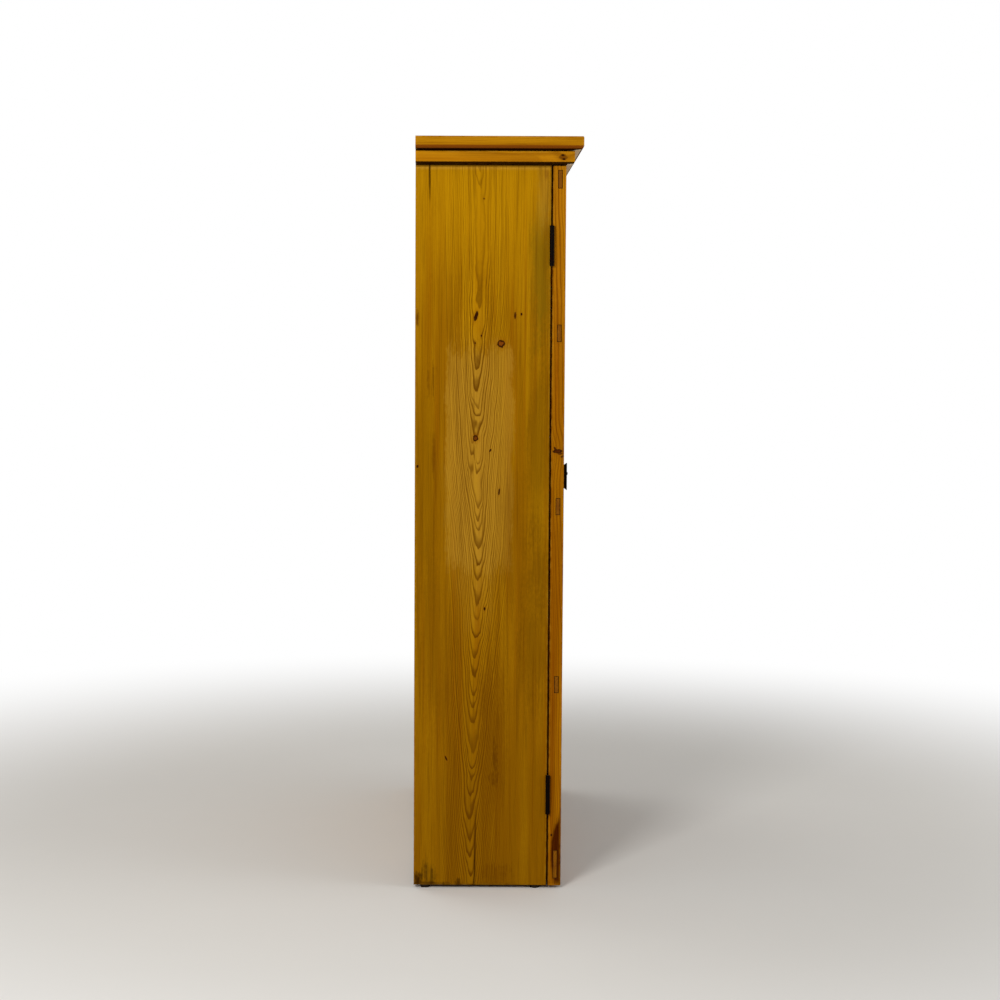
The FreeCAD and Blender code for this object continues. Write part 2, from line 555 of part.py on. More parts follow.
# Sliding bolt behind the left door's meeting stile; it shoots up into the head board
bolt_top = f"({HEAD_UNDER} - sizes.bolt_clearance)"
plate_top = f"({bolt_top} - sizes.bolt_clearance)"
plate_low = f"({plate_top} - sizes.bolt_plate_height)"
plate_x = (f"{BOLT_X} - sizes.bolt_plate_width / 2", f"{BOLT_X} + sizes.bolt_plate_width / 2")
plate_y = (DOOR_BACK, f"{DOOR_BACK} + sizes.bolt_plate_thickness")
guide_x = (f"{BOLT_X} - 2 * sizes.bolt_radius", f"{BOLT_X} + 2 * sizes.bolt_radius")
guide_y = (DOOR_BACK, f"{BOLT_Y} + 1.5 * sizes.bolt_radius")
plate_pieces = [block("bolt_back_plate", plate_x, plate_y, (plate_low, plate_top))]
for name, low in (("upper", f"({plate_top} - sizes.bolt_guide_height)"), ("lower", plate_low)):
    guide_z = (low, f"{low} + sizes.bolt_guide_height")
    plate_pieces.append(block(f"{name}_bolt_guide", guide_x, guide_y, guide_z))
bore_radius = "sizes.bolt_radius + sizes.running_clearance"
bolt_bore = rod("bolt_bore", bore_radius, "sizes.bolt_plate_height", BOLT_X, BOLT_Y, plate_low)
keep("bolt_plate", cut("bolt_plate_cut", joined("bolt_plate_stock", plate_pieces), [bolt_bore]))
bolt_low = f"{bolt_top} - sizes.bolt_length"
bolt_shaft = rod("bolt_shaft", "sizes.bolt_radius", "sizes.bolt_length", BOLT_X, BOLT_Y, bolt_low)
knob_z = f"{plate_low} + sizes.bolt_guide_height + sizes.bolt_radius + sizes.rose_play"
knob = rod("bolt_knob", "sizes.bolt_radius", "2.4 * sizes.bolt_radius", BOLT_X, BOLT_Y, knob_z, "+y")
keep("sliding_bolt", joined("bolt_joined", [bolt_shaft, knob]))

# Check every object, then write one file for each finished piece
doc.recompute()
for item in doc.Objects:
    if "Invalid" in item.State or "Error" in item.State:
        raise RuntimeError(f"{item.Label} did not compute")
for item in finished:
    if item.Shape.isNull() or not item.Shape.isValid():
        raise RuntimeError(f"{item.Label} has no valid shape")
    item.Shape.exportStep(f"parts/{item.Label}.step")
    print(item.Label, len(item.Shape.Solids), round(item.Shape.Volume))
print(len(finished), "pieces")
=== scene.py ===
# %% [markdown]
# # A glazed pine cabinet, dressed in Blender
# The real cabinet is an old waxed pine cupboard: two wide side boards, a stepped cornice, glazed double
# doors on black butt hinges, and shelves behind the glass. Its construction is already there as solids.
# This lesson adds what solids lack: softened arrises, grain, knots, wear, nails, screw slots, and a camera
# and light to see it by.

# %% Load the solids
import json
import math
import random
from typing import NamedTuple

import bmesh
import bpy
from mathutils import Matrix, Vector

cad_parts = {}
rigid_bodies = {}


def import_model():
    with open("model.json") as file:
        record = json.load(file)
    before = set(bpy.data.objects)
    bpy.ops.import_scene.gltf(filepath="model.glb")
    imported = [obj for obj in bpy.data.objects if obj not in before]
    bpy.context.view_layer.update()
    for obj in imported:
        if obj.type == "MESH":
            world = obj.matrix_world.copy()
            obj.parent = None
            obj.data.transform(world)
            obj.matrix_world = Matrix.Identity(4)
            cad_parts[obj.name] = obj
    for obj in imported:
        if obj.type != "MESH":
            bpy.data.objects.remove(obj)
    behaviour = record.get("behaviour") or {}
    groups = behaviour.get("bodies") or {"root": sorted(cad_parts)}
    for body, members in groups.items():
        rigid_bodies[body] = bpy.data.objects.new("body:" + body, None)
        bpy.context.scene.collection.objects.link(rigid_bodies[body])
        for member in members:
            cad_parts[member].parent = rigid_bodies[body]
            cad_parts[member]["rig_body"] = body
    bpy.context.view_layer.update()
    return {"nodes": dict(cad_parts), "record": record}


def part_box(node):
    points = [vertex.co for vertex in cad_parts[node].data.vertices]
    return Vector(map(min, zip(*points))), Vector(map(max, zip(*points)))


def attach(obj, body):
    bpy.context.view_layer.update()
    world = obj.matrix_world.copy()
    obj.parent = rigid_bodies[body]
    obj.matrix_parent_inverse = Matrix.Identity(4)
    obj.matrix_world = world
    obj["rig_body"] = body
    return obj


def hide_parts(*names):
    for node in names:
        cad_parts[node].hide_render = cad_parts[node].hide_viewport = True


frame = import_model()
scene = bpy.context.scene
scene.view_settings.view_transform = "Standard"
MM = 0.001
slot_of = {part["node"]: part["material_slot"] for part in frame["record"]["subparts"]}
body_of = {node: item["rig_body"] for node, item in frame["nodes"].items()}


def new_object(name, data):
    """An object that shows some data, put into the scene."""
    made = bpy.data.objects.new(name, data)
    scene.collection.objects.link(made)
    return made


# %% [markdown]
# ## The camera
# The cabinet was photographed square on to its left side, with the camera nearly four metres from its
# middle and at about two thirds of its height. A camera can be placed by eye, but here every edge of the
# cabinet has a known size, so the focal length, the place and the tilt were worked out from where those
# edges fall in the picture. The picture was cropped off centre, which a small lens shift repeats without
# turning the camera.

# %% Set up the camera
PHOTO_PIXELS = 1000
FOCAL_PIXELS = 1827.3
AXIS_PIXEL = 448.4
CAMERA_PLACE = Vector((-3.9175, 0.0965, 1.0011))
TILT_DOWN = math.radians(4.042)
ROLL = math.radians(0.231)

lens = bpy.data.cameras.new("side_view")
lens.lens = FOCAL_PIXELS / PHOTO_PIXELS * lens.sensor_width
lens.shift_x = 0.5 - AXIS_PIXEL / PHOTO_PIXELS
camera = new_object("side_view", lens)
scene.camera = camera

forward = Vector((math.cos(TILT_DOWN), 0, -math.sin(TILT_DOWN)))
level = forward.cross(Vector((0, 0, 1))).normalized()
upright = level.cross(forward)
right = math.cos(ROLL) * level + math.sin(ROLL) * upright
up = math.cos(ROLL) * upright - math.sin(ROLL) * level
turn = Matrix((right, up, -forward)).transposed().to_4x4()
camera.matrix_world = Matrix.Translation(CAMERA_PLACE) @ turn
print("lens", round(lens.lens, 1), "mm")

# %% [markdown]
# ## Short ways to join nodes
# Every finish below is a node tree. Written out one call at a time, a tree hides its own idea, so three
# small classes help. Wiring adds a node and feeds its sockets in one go: a value that comes from a node
# becomes a link, and any other value is typed in. A Node gives its outputs by name. A Value is one output,
# and a sum or product with it adds the Math node that works it out, which lets a recipe read like a
# formula.


# %% Outputs that read like sums
def find(sockets, label):
    """The socket with this identifier or name; underscores may stand for spaces."""
    wanted = (label, label.replace("_", " "))
    return next(item for item in sockets if item.identifier in wanted or item.name in wanted)


class Value:
    """One output of a node, which can be added, subtracted, multiplied and divided."""

    def __init__(self, wiring, socket):
        self.wiring = wiring
        self.socket = socket

    def __add__(self, other):
        return self.wiring.math("ADD", self, other)

    def __sub__(self, other):
        return self.wiring.math("SUBTRACT", self, other)

    def __rsub__(self, other):
        return self.wiring.math("SUBTRACT", other, self)

    def __mul__(self, other):
        return self.wiring.math("MULTIPLY", self, other)

    def __truediv__(self, other):
        return self.wiring.math("DIVIDE", self, other)


class Node:
    """A node in a tree."""

    def __init__(self, wiring, made):
        self.wiring = wiring
        self.made = made

    def __getitem__(self, label):
        return Value(self.wiring, find(self.made.outputs, label))


# %% Add nodes to a tree and join them
class Wiring:
    """Adds nodes to one tree and joins their sockets."""

    def __init__(self, tree):
        self.tree = tree

    def feed(self, socket, value):
        if isinstance(value, Value):
            self.tree.links.new(value.socket, socket)
        elif socket.type == "VECTOR" and isinstance(value, float):
            socket.default_value = (value, value, value)
        else:
            socket.default_value = value

    def node(self, kind, settings=(), **values):
        made = self.tree.nodes.new(kind)
        for name, value in dict(settings).items():
            setattr(made, name, value)
        for label, value in values.items():
            self.feed(find(made.inputs, label), value)
        return Node(self, made)

    def math(self, operation, first, *others):
        """A Math node, or a Vector Math node where the first value is a vector."""
        is_vector = isinstance(first, Value) and first.socket.type == "VECTOR"
        kind, label = ("ShaderNodeVectorMath", "Vector") if is_vector else ("ShaderNodeMath", "Value")
        slots = (label, f"{label}_001", f"{label}_002")
        return self.node(kind, {"operation": operation}, **dict(zip(slots, (first, *others))))[label]

    def vector(self, x, y, z):
        return self.node("ShaderNodeCombineXYZ", X=x, Y=y, Z=z)["Vector"]

    def parts(self, vector):
        made = self.node("ShaderNodeSeparateXYZ", Vector=vector)
        return [made[axis] for axis in "XYZ"]

    def attribute(self, name, output="Fac"):
        return self.node("ShaderNodeAttribute", {"attribute_name": name})[output]

    def noise(self, place, detail=2.0):
        """Cloudy noise of about one blob a unit, from 0 to 1."""
        return self.node("ShaderNodeTexNoise", Vector=place, Scale=1.0, Detail=detail)["Fac"]

    def sway(self, place, reach):
        """Noise that swings evenly either way by up to reach."""
        return (self.noise(place) - 0.5) * (2.0 * reach)

    def ease(self, value, start, end):
        """0 before start, 1 after end, and a smooth step between them."""
        settings = {"interpolation_type": "SMOOTHSTEP"}
        return self.node("ShaderNodeMapRange", settings, Value=value, From_Min=start, From_Max=end)["Result"]

    def blend(self, share, first, second):
        """A colour between two others."""
        settings = {"data_type": "RGBA"}
        made = self.node("ShaderNodeMix", settings, Factor_Float=share, A_Color=first, B_Color=second)
        return made["Result_Color"]

    def place(self, group, **values):
        """A node that holds a finished group."""
        return self.node("ShaderNodeGroup", {"node_tree": group}, **values)


# %% Start a colour, a group and a material
def paint(red, green, blue):
    """A display colour, 0 to 255, as the linear values that a shader holds."""
    levels = [channel / 255 for channel in (red, green, blue)]
    linear = [level / 12.92 if level <= 0.04045 else ((level + 0.055) / 1.055) ** 2.4 for level in levels]
    return (*linear, 1.0)


def shader_group(name, inputs, outputs):
    """An empty group of float sockets, or a vector one where the name is Grain: its wiring and inputs."""
    tree = bpy.data.node_groups.new(name, "ShaderNodeTree")
    for way, labels in (("INPUT", inputs), ("OUTPUT", outputs)):
        for label in labels:
            kind = "NodeSocketVector" if label == "Grain" else "NodeSocketFloat"
            tree.interface.new_socket(label, in_out=way, socket_type=kind)
    w = Wiring(tree)
    return w, w.node("NodeGroupInput")


def new_material(name):
    """A material with an empty tree, and its wiring."""
    material = bpy.data.materials.new(name)
    material.use_nodes = True
    material.node_tree.nodes.clear()
    return material, Wiring(material.node_tree)


print("sample colour", [round(level, 3) for level in paint(150, 100, 8)])

# %% [markdown]
# ## Floor, background and light
# The photograph is a cut-out on white, lit softly from the upper left, with the shadow falling to the right
# and behind. A white wall would bounce light all over the wood, so the white comes from the world and shows
# only to the camera, in gloss and through glass, while a calmer sky lights the object. The floor is pale,
# keeps the shadow, and fades into that white a few steps away.

# %% Make the floor and the white surround
WHITE = (1, 1, 1, 1)
FLOOR_REACH = 12.0
FADE_START = 0.9
FADE_END = 2.6
FLOOR_PALE = paint(226, 223, 217)
FLOOR_CLOUD = paint(205, 201, 194)
CLOUDS_A_METRE = 9.0
CLOUD_SHARE = 0.06
SKY_STRENGTH = 0.42


def seen_directly(w):
    """1 for rays from the camera, and for those that a gloss threw back or that passed glass."""
    path = w.node("ShaderNodeLightPath")
    mirrored = w.math("MAXIMUM", path["Is Glossy Ray"], path["Is Transmission Ray"])
    return w.math("MAXIMUM", path["Is Camera Ray"], mirrored)


def floor_material():
    material, w = new_material("pale_floor")
    place = w.node("ShaderNodeTexCoord")["Object"]
    distance = w.node("ShaderNodeVectorMath", {"operation": "LENGTH"}, Vector=place)["Value"]
    far = w.ease(distance, FADE_START, FADE_END) * seen_directly(w)
    colour = w.blend(w.noise(place * CLOUDS_A_METRE) * CLOUD_SHARE, FLOOR_PALE, FLOOR_CLOUD)
    matt = w.node("ShaderNodeBsdfPrincipled", Base_Color=colour, Roughness=0.8, Specular_IOR_Level=0.1)
    glow = w.node("ShaderNodeEmission", Color=WHITE, Strength=1.0)
    mixed = w.node("ShaderNodeMixShader", Fac=far, Shader=matt["BSDF"], Shader_001=glow["Emission"])
    w.node("ShaderNodeOutputMaterial", Surface=mixed["Shader"])
    return material


floor_mesh = bpy.data.meshes.new("studio_floor")
floor_corners = [(FLOOR_REACH * x, FLOOR_REACH * y, 0) for x, y in ((-1, -1), (1, -1), (1, 1), (-1, 1))]
floor_mesh.from_pydata(floor_corners, [], [(0, 1, 2, 3)])
floor_mesh.materials.append(floor_material())
floor = new_object("studio_floor", floor_mesh)

world = bpy.data.worlds.new("white_surround")
world.use_nodes = True
world.node_tree.nodes.clear()
sky = Wiring(world.node_tree)
strength = seen_directly(sky) * (1.0 - SKY_STRENGTH) + SKY_STRENGTH
background = sky.node("ShaderNodeBackground", Color=WHITE, Strength=strength)
sky.node("ShaderNodeOutputWorld", Surface=background["Background"])
scene.world = world
print("sky", SKY_STRENGTH)

# %% Hang three soft boxes
SOFT_BOXES = {
    "key_box": {"place": (-3.1, 1.3, 2.1), "aim": (-0.43, 0.05, 1.25), "size": 0.8, "watts": 60},
    "front_box": {"place": (-0.9, -3.4, 2.0), "aim": (0, -0.1, 0.8), "size": 2.6, "watts": 34},
    "rear_box": {"place": (2.4, 2.8, 2.6), "aim": (0.2, 0.1, 0.8), "size": 2.6, "watts": 34},
}
for name, box in SOFT_BOXES.items():
    lamp = bpy.data.lights.new(name, "AREA")
    lamp.size = box["size"]
    lamp.energy = box["watts"]
    aim = Vector(box["aim"]) - Vector(box["place"])
    turn = aim.to_track_quat("-Z", "Y").to_matrix().to_4x4()
    new_object(name, lamp).matrix_world = Matrix.Translation(box["place"]) @ turn
print(len(SOFT_BOXES), "soft boxes")

# %% [markdown]
# ## From a solid to a board
# A solid arrives as loose triangles with knife-sharp edges, and nothing tells a shader which way its grain
# runs. Modelling each board again would repeat the joiner's work, so each solid's mesh is copied, welded
# and cleaned, and its long arrises are rounded the way a plane and long use do it. The copy then carries
# some attributes: the place of each point on its own board, the board's half sizes, a number that tells
# boards apart, and marks on end grain, on level tops and undersides, and on rounded faces that turn under,
# which the finishes darken with painted shade.

# %% Copy, weld and round a solid
WELD_DISTANCE = 0.01 * MM
FLAT_ANGLE = math.radians(0.5)
SHARP_ANGLE = math.radians(20)
SMOOTH_ANGLE = math.radians(38)
ARRIS_STEPS = 2


def welded_copy(node):
    """A bmesh of one solid's mesh with its triangles joined into whole faces."""
    copy = bmesh.new()
    copy.from_mesh(frame["nodes"][node].data)
    bmesh.ops.remove_doubles(copy, verts=copy.verts, dist=WELD_DISTANCE)
    bmesh.ops.dissolve_limit(copy, angle_limit=FLAT_ANGLE, verts=copy.verts, edges=copy.edges)
    return copy


def box_of(vertices):
    """Lowest and highest corner of some vertices."""
    columns = list(zip(*(vertex.co for vertex in vertices)))
    return Vector([min(column) for column in columns]), Vector([max(column) for column in columns])


def islands(copy):
    """The separate solids of a welded copy, as lists of vertices."""
    waiting = set(copy.verts)
    found = []
    while waiting:
        start = waiting.pop()
        island = [start]
        stack = [start]
        while stack:
            for edge in stack.pop().link_edges:
                for vertex in edge.verts:
                    if vertex in waiting:
                        waiting.remove(vertex)
                        island.append(vertex)
                        stack.append(vertex)
        found.append(island)
    return sorted(found, key=lambda island: tuple(round(value, 4) for value in box_of(island)[0]))


def arrises(copy, shortest, outer_only):
    """Sharp outward edges of some length; outer_only keeps those on two faces of the whole box."""
    corners = box_of(copy.verts)
    chosen = []
    for edge in copy.edges:
        if not edge.is_convex or edge.calc_length() < shortest or edge.calc_face_angle(0) < SHARP_ANGLE:
            continue
        outer = 0
        for axis in range(3):
            for corner in corners:
                outer += all(abs(vertex.co[axis] - corner[axis]) < WELD_DISTANCE for vertex in edge.verts)
        if outer >= 2 or not outer_only:
            chosen.append(edge)
    return chosen


def round_arrises(copy, radius, shortest, outer_only=False, steps=ARRIS_STEPS):
    """Rounds the arrises and returns the new faces along them."""
    edges = arrises(copy, shortest, outer_only)
    made = bmesh.ops.bevel(
        copy, geom=edges, offset=radius, segments=steps, profile=0.5, affect="EDGES", clamp_overlap=False)
    return made["faces"]


# %% Write the grain on a copy and hand it over as a piece
LEVEL = 0.97
END_ON = 0.8


def write_grain(copy, node):
    """Gives every vertex its place on its own board; the grain runs along the longest side."""
    place = copy.verts.layers.float_vector.new("grain_place")
    half = copy.verts.layers.float_vector.new("board_half")
    seed = copy.verts.layers.float.new("board_seed")
    labels = ("end_grain", "turned_under", "underside", "topside")
    end, turned, below, above = [copy.faces.layers.float.new(label) for label in labels]
    for face in copy.faces:
        facing_down = max(0.0, -face.normal.z)
        face[turned] = facing_down if facing_down < LEVEL else 0.0
        face[below] = facing_down >= LEVEL
        face[above] = face.normal.z >= LEVEL
    for number, island in enumerate(islands(copy)):
        low, high = box_of(island)
        size = high - low
        through, across, along = sorted(range(3), key=lambda axis: size[axis])
        middle = (low + high) / 2
        draw = random.Random(f"{node} {number}").uniform(0, 100)
        for vertex in island:
            from_middle = vertex.co - middle
            vertex[place] = (from_middle[across], from_middle[through], from_middle[along])
            vertex[half] = (size[across] / 2, size[through] / 2, size[along] / 2)
            vertex[seed] = draw
            for face in vertex.link_faces:
                face[end] = abs(face.normal[along]) > END_ON


def adopt(piece, node):
    """Lets a piece stand for a solid and move with its body, and hides the solid."""
    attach(piece, body_of[node])
    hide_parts(node)
    return piece


def hand_over(copy, name, material, node):
    """Turns a finished bmesh into a piece that stands for a solid."""
    mesh = bpy.data.meshes.new(name)
    copy.normal_update()
    copy.to_mesh(mesh)
    copy.free()
    mesh.polygons.foreach_set("use_smooth", [True] * len(mesh.polygons))
    mesh.set_sharp_from_angle(angle=SMOOTH_ANGLE)
    mesh.materials.append(material)
    piece = new_object(name, mesh)
    piece.modifiers.new("even_normals", "WEIGHTED_NORMAL").keep_sharp = True
    return adopt(piece, node)


print("ready to cut", sum(slot.endswith("pine") for slot in slot_of.values()), "wooden solids")

# %% [markdown]
# ## Pine, one effect at a time
# A pine board shows the rings of a tree that was a slightly tapering cone. Where the saw ran beside the
# heart, the rings come out as nested tongues down the middle and as straight lines at the sides. A wood
# texture that only stretches noise can't do that, so the first group works out each point's distance from
# the heart of the tree. The other groups add knots that push the rings aside, soft stains, and the distance
# to the nearest arris for wear. Where the real boards can't be seen, knots are scattered by a cell texture,
# one in some of its cells. A scale below says how many blobs of noise a metre holds across, through and
# along the board, and a draw picks one number a board.

# %% A group for growth rings
SHUFFLE_DRAW = (1.0, 4.7, 1.9)
HEART_SWAY = 0.012
SWAYS_A_METRE = 2.4
SPOT_SCALE = (38.0, 38.0, 13.0)
KINK_SCALE = (110.0, 60.0, 34.0)
KINKS = 0.35
BEND_SOFTNESS = 0.12
SLOW_TAPER = 0.2
UNEVEN_PACE = 0.23
UNEVEN_RINGS = 3.0
LATE_GROWS = (0.42, 0.88)
LATE_STOPS = (0.92, 1.0)
YEAR_DRAW = (3.7, 1.0, 7.0)
STRONG_YEARS = (0.3, 0.6)
WEAK_YEAR = 0.6
CLEAR_FADE = (1.0, 2.2)
PAST_BEND = (0.05, 0.25)
BEND_FAINT = 0.65
FAINT_LINES = 0.22
STREAK_SCALE = (62.0, 62.0, 1.7)
FIBRE_SCALE = (330.0, 330.0, 7.0)


def build_pine_figure():
    inputs = (
        "Grain", "Seed", "Ring width", "Heart depth", "Heart offset", "Lean", "Shuffle", "Taper", "Bend",
        "Clear", "Wander", "Bulge")
    w, given = shader_group("pine_figure", inputs, ("Late wood", "Streak", "Fibre"))
    grain = given["Grain"]
    seed = given["Seed"]
    across, through, along = w.parts(grain)
    by_seed = w.vector(seed, 0.0, 0.0)
    shuffled = w.sway(w.vector(seed, 1.0, 1.0) * SHUFFLE_DRAW, 2.0) * given["Shuffle"]
    strayed = w.math("MINIMUM", along, 0.0) * given["Lean"] + given["Heart offset"]
    heart = strayed + shuffled + w.sway(w.vector(seed, along * SWAYS_A_METRE, 0.0), HEART_SWAY)
    aside = across - heart
    deep = through + given["Heart depth"]
    radius = w.math("SQRT", aside * aside + deep * deep)
    spots = w.sway(grain * SPOT_SCALE + by_seed, 1.0)
    wobble = (spots + w.sway(grain * KINK_SCALE + by_seed, KINKS)) * given["Wander"]
    bent = w.math("SMOOTH_MIN", along, given["Bend"], BEND_SOFTNESS)
    tapered = bent * (1.0 - SLOW_TAPER) + along * SLOW_TAPER
    even = (radius - tapered * given["Taper"] + wobble + given["Bulge"]) / given["Ring width"]
    ring = even + w.noise(w.vector(even * UNEVEN_PACE, seed, 0.0)) * UNEVEN_RINGS
    share = w.math("FRACT", ring)
    dark = w.ease(share, *LATE_GROWS) * (1.0 - w.ease(share, *LATE_STOPS))
    year = w.noise(w.vector(w.math("FLOOR", ring), seed, 1.0) * YEAR_DRAW, detail=0.0)
    strong = w.ease(year, *STRONG_YEARS) * (1.0 - WEAK_YEAR) + WEAK_YEAR
    far = w.ease(w.math("ABSOLUTE", aside) / given["Clear"], *CLEAR_FADE)
    past_bend = w.ease(along - given["Bend"], *PAST_BEND) * BEND_FAINT
    faint = w.math("MAXIMUM", far, past_bend) * (FAINT_LINES - 1.0) + 1.0
    streak = w.noise(grain * STREAK_SCALE + by_seed, detail=3.0)
    fibre = w.noise(grain * FIBRE_SCALE + w.vector(0.0, 0.0, seed), detail=4.0)
    w.node("NodeGroupOutput", Late_wood=dark * strong * faint, Streak=streak, Fibre=fibre)
    return w.tree


pine_figure = build_pine_figure()
print(pine_figure.name, len(pine_figure.nodes), "nodes")

# %% Groups for knots
KNOT_SHOWS = ("Core", "Ring", "Halo")
GRIT_SCALE = (230.0, 170.0, 1.0)
GRIT = 0.5
KNOT_CORE = (0.6, 1.05)
KNOT_RIM = 0.85
RIM_FADE = (0.12, 0.4)
KNOT_HALO = (0.7, 2.6)
PUSH_WIDE = 3.0
PUSH_TALL = 6.5
PUSH_ROUND = 4.5
SMALLEST_KNOT = 1.6 * MM
LARGEST_KNOT = 6.5 * MM
COLUMN_DRAW = 3.1
ROW_DRAW = 1.7


def offset_on_board(given):
    """How far a point lies from a marked place: sideways with its lean, and along the grain."""
    ahead = given["Along"] - given["Place along"]
    return ahead * given["Lean"] + (given["Side"] - given["Place side"]), ahead


def knot_masks(w, place, reach, radius):
    """Core, dark ring and glow of a knot, from the distance to its middle; noise at place roughens them."""
    size = reach / radius + w.sway(place * GRIT_SCALE, GRIT)
    core = 1.0 - w.ease(size, *KNOT_CORE)
    ring = 1.0 - w.ease(w.math("ABSOLUTE", size - KNOT_RIM), *RIM_FADE)
    return core, ring, 1.0 - w.ease(size, *KNOT_HALO)


def hill(w, fade, radius):
    """How far a knot pushes the rings aside; fade is the squared distance, in hill widths."""
    return w.math("POWER", math.e, fade * -1.0) * radius


def build_knot():
    inputs = ("Side", "Along", "Place side", "Place along", "Radius", "Stretch", "Lean", "Solid")
    w, given = shader_group("knot", inputs, (*KNOT_SHOWS, "Bulge"))
    radius = given["Radius"]
    aside, ahead = offset_on_board(given)
    flat = ahead / given["Stretch"]
    reach = w.math("SQRT", aside * aside + flat * flat)
    core, ring, halo = knot_masks(w, w.vector(given["Side"], given["Along"], 0.0), reach, radius)
    wide = aside / (radius * PUSH_WIDE)
    tall = ahead / (radius * PUSH_TALL)
    bulge = hill(w, wide * wide + tall * tall, radius)
    filled = w.math("MAXIMUM", ring, core * given["Solid"])
    w.node("NodeGroupOutput", Core=core, Ring=filled, Halo=halo, Bulge=bulge)
    return w.tree


def build_scattered_knots():
    inputs = ("Grain", "Seed", "Spacing", "Share")
    w, given = shader_group("scattered_knots", inputs, (*KNOT_SHOWS, "Bulge"))
    across, _, along = w.parts(given["Grain"])
    column = across / given["Spacing"] + given["Seed"] * COLUMN_DRAW
    row = along / given["Spacing"] + given["Seed"] * ROW_DRAW
    cells = w.node(
        "ShaderNodeTexVoronoi", {"voronoi_dimensions": "2D"}, Vector=w.vector(column, row, 0.0), Scale=1.0,
        Randomness=0.9)
    chance = w.node("ShaderNodeSeparateColor", Color=cells["Color"])
    kept = w.math("LESS_THAN", chance["Red"], given["Share"])
    radius = w.math("POWER", chance["Green"], 2.0) * (LARGEST_KNOT - SMALLEST_KNOT) + SMALLEST_KNOT
    reach = cells["Distance"] * given["Spacing"]
    core, ring, halo = knot_masks(w, w.vector(across, along, given["Seed"]), reach, radius)
    bulge = hill(w, w.math("POWER", reach / (radius * PUSH_ROUND), 2.0), radius)
    w.node("NodeGroupOutput", Core=core * kept, Ring=ring * kept, Halo=halo * kept, Bulge=bulge * kept)
    return w.tree


knot_group = build_knot()
scattered_group = build_scattered_knots()
print("groups:", knot_group.name, scattered_group.name)

# %% Groups for stains and arrises
CLOUD_SCALE = (45.0, 14.0, 3.0)
CRUMB_SCALE = (260.0, 110.0, 5.0)
CRUMBS = 0.8


def build_stain():
    inputs = (
        "Side", "Along", "Place side", "Place along", "Half width", "Half height", "Lean", "Ragged", "Firm",
        "Square")
    w, given = shader_group("soft_stain", inputs, ("Mask",))
    aside, ahead = offset_on_board(given)
    wide = aside / given["Half width"]
    tall = ahead / given["Half height"]
    oval = w.math("SQRT", wide * wide + tall * tall)
    box = w.math("MAXIMUM", w.math("ABSOLUTE", wide), w.math("ABSOLUTE", tall))
    reach = (box - oval) * given["Square"] + oval
    place = w.vector(given["Side"], given["Along"], 1.0)
    torn = w.sway(place * CLOUD_SCALE, 1.0) + w.sway(place * CRUMB_SCALE, CRUMBS)
    w.node("NodeGroupOutput", Mask=1.0 - w.ease(reach + torn * given["Ragged"], given["Firm"], 1.0))
    return w.tree


def build_board_edges():
    w, _ = shader_group("board_edges", (), ("Arris", "Recess"))
    folded = w.math("ABSOLUTE", w.attribute("grain_place", "Vector"))
    first, second, third = w.parts(w.attribute("board_half", "Vector") - folded)
    least = w.math("MINIMUM", w.math("MINIMUM", first, second), third)
    most = w.math("MAXIMUM", w.math("MAXIMUM", first, second), third)
    w.node("NodeGroupOutput", Arris=first + second + third - least - most, Recess=least)
    return w.tree


stain_group = build_stain()
edge_group = build_board_edges()
print("groups:", stain_group.name, edge_group.name)

# %% [markdown]
# ## A pine finish
# One function mixes the groups into a finish. Early wood is honey coloured and late wood is brown, streaks
# of a second tone run with the grain, end grain drinks more wax and goes dark, arrises are rubbed paler,
# though on the back boards a dark arris coat paints shade in the joints, and dirt stays round the ends of
# tenons. Painted shade, with some dirt, darkens recesses such as the insides of the checks, and painted
# shade darkens faces that turn under and most undersides. Each of these is a coat: a display colour and, as
# a fourth number, the share of it that shows where its mask is full. A waxed face has little gloss of its
# own, so the shader's specular level is low, and the same figure gives the colour, the roughness and a
# slight relief. Knots and stains are given as plain sizes in millimetres from the middle of their board:
# side is across it and along is with the grain.


# %% Say what a knot and a stain are
class Knot(NamedTuple):
    """A knot; push says how far it moves the rings, and shown how much of the knot itself is there."""

    side: float
    along: float
    radius: float
    stretch: float = 1.3
    lean: float = 0.0
    push: float = 1.0
    solid: float = 1.0
    shown: float = 1.0
    seen_on: str = "across"


class Stain(NamedTuple):
    """A stain with its half sizes; a ragged one has a torn outline, and a streaky one follows the fibres."""

    side: float
    along: float
    wide: float
    tall: float
    share: float
    colour: tuple
    ragged: float = 0.35
    firm: float = 0.15
    square: float = 0.0
    lean: float = 0.0
    seen_on: str = "across"
    streaky: bool = False


print("a knot has", len(Knot._fields), "facts and a stain", len(Stain._fields))

# %% Place knots and lay stains
GRAINY = (0.3, 0.6)


def add_knots(w, knots, sides, along):
    """Places the listed knots and returns their joined masks and the push on the rings."""
    joined = dict.fromkeys((*KNOT_SHOWS, "Bulge"), 0.0)
    for knot in knots:
        made = w.place(
            knot_group, Side=sides[knot.seen_on], Along=along, Place_side=knot.side * MM,
            Place_along=knot.along * MM, Radius=knot.radius * MM, Stretch=knot.stretch, Lean=knot.lean,
            Solid=knot.solid)
        for mask in KNOT_SHOWS:
            joined[mask] = w.math("MAXIMUM", joined[mask], made[mask] * knot.shown)
        joined["Bulge"] = made["Bulge"] * knot.push + joined["Bulge"]
    return joined


def add_stain(w, stain, sides, along, fibre, colour):
    """Lays one stain over a colour."""
    mask = w.place(
        stain_group, Side=sides[stain.seen_on], Along=along, Place_side=stain.side * MM,
        Place_along=stain.along * MM, Half_width=stain.wide * MM, Half_height=stain.tall * MM,
        Lean=stain.lean, Ragged=stain.ragged, Firm=stain.firm, Square=stain.square)["Mask"]
    if stain.streaky:
        mask = mask * w.ease(fibre, *GRAINY)
    return w.blend(mask * stain.share, colour, paint(*stain.colour))


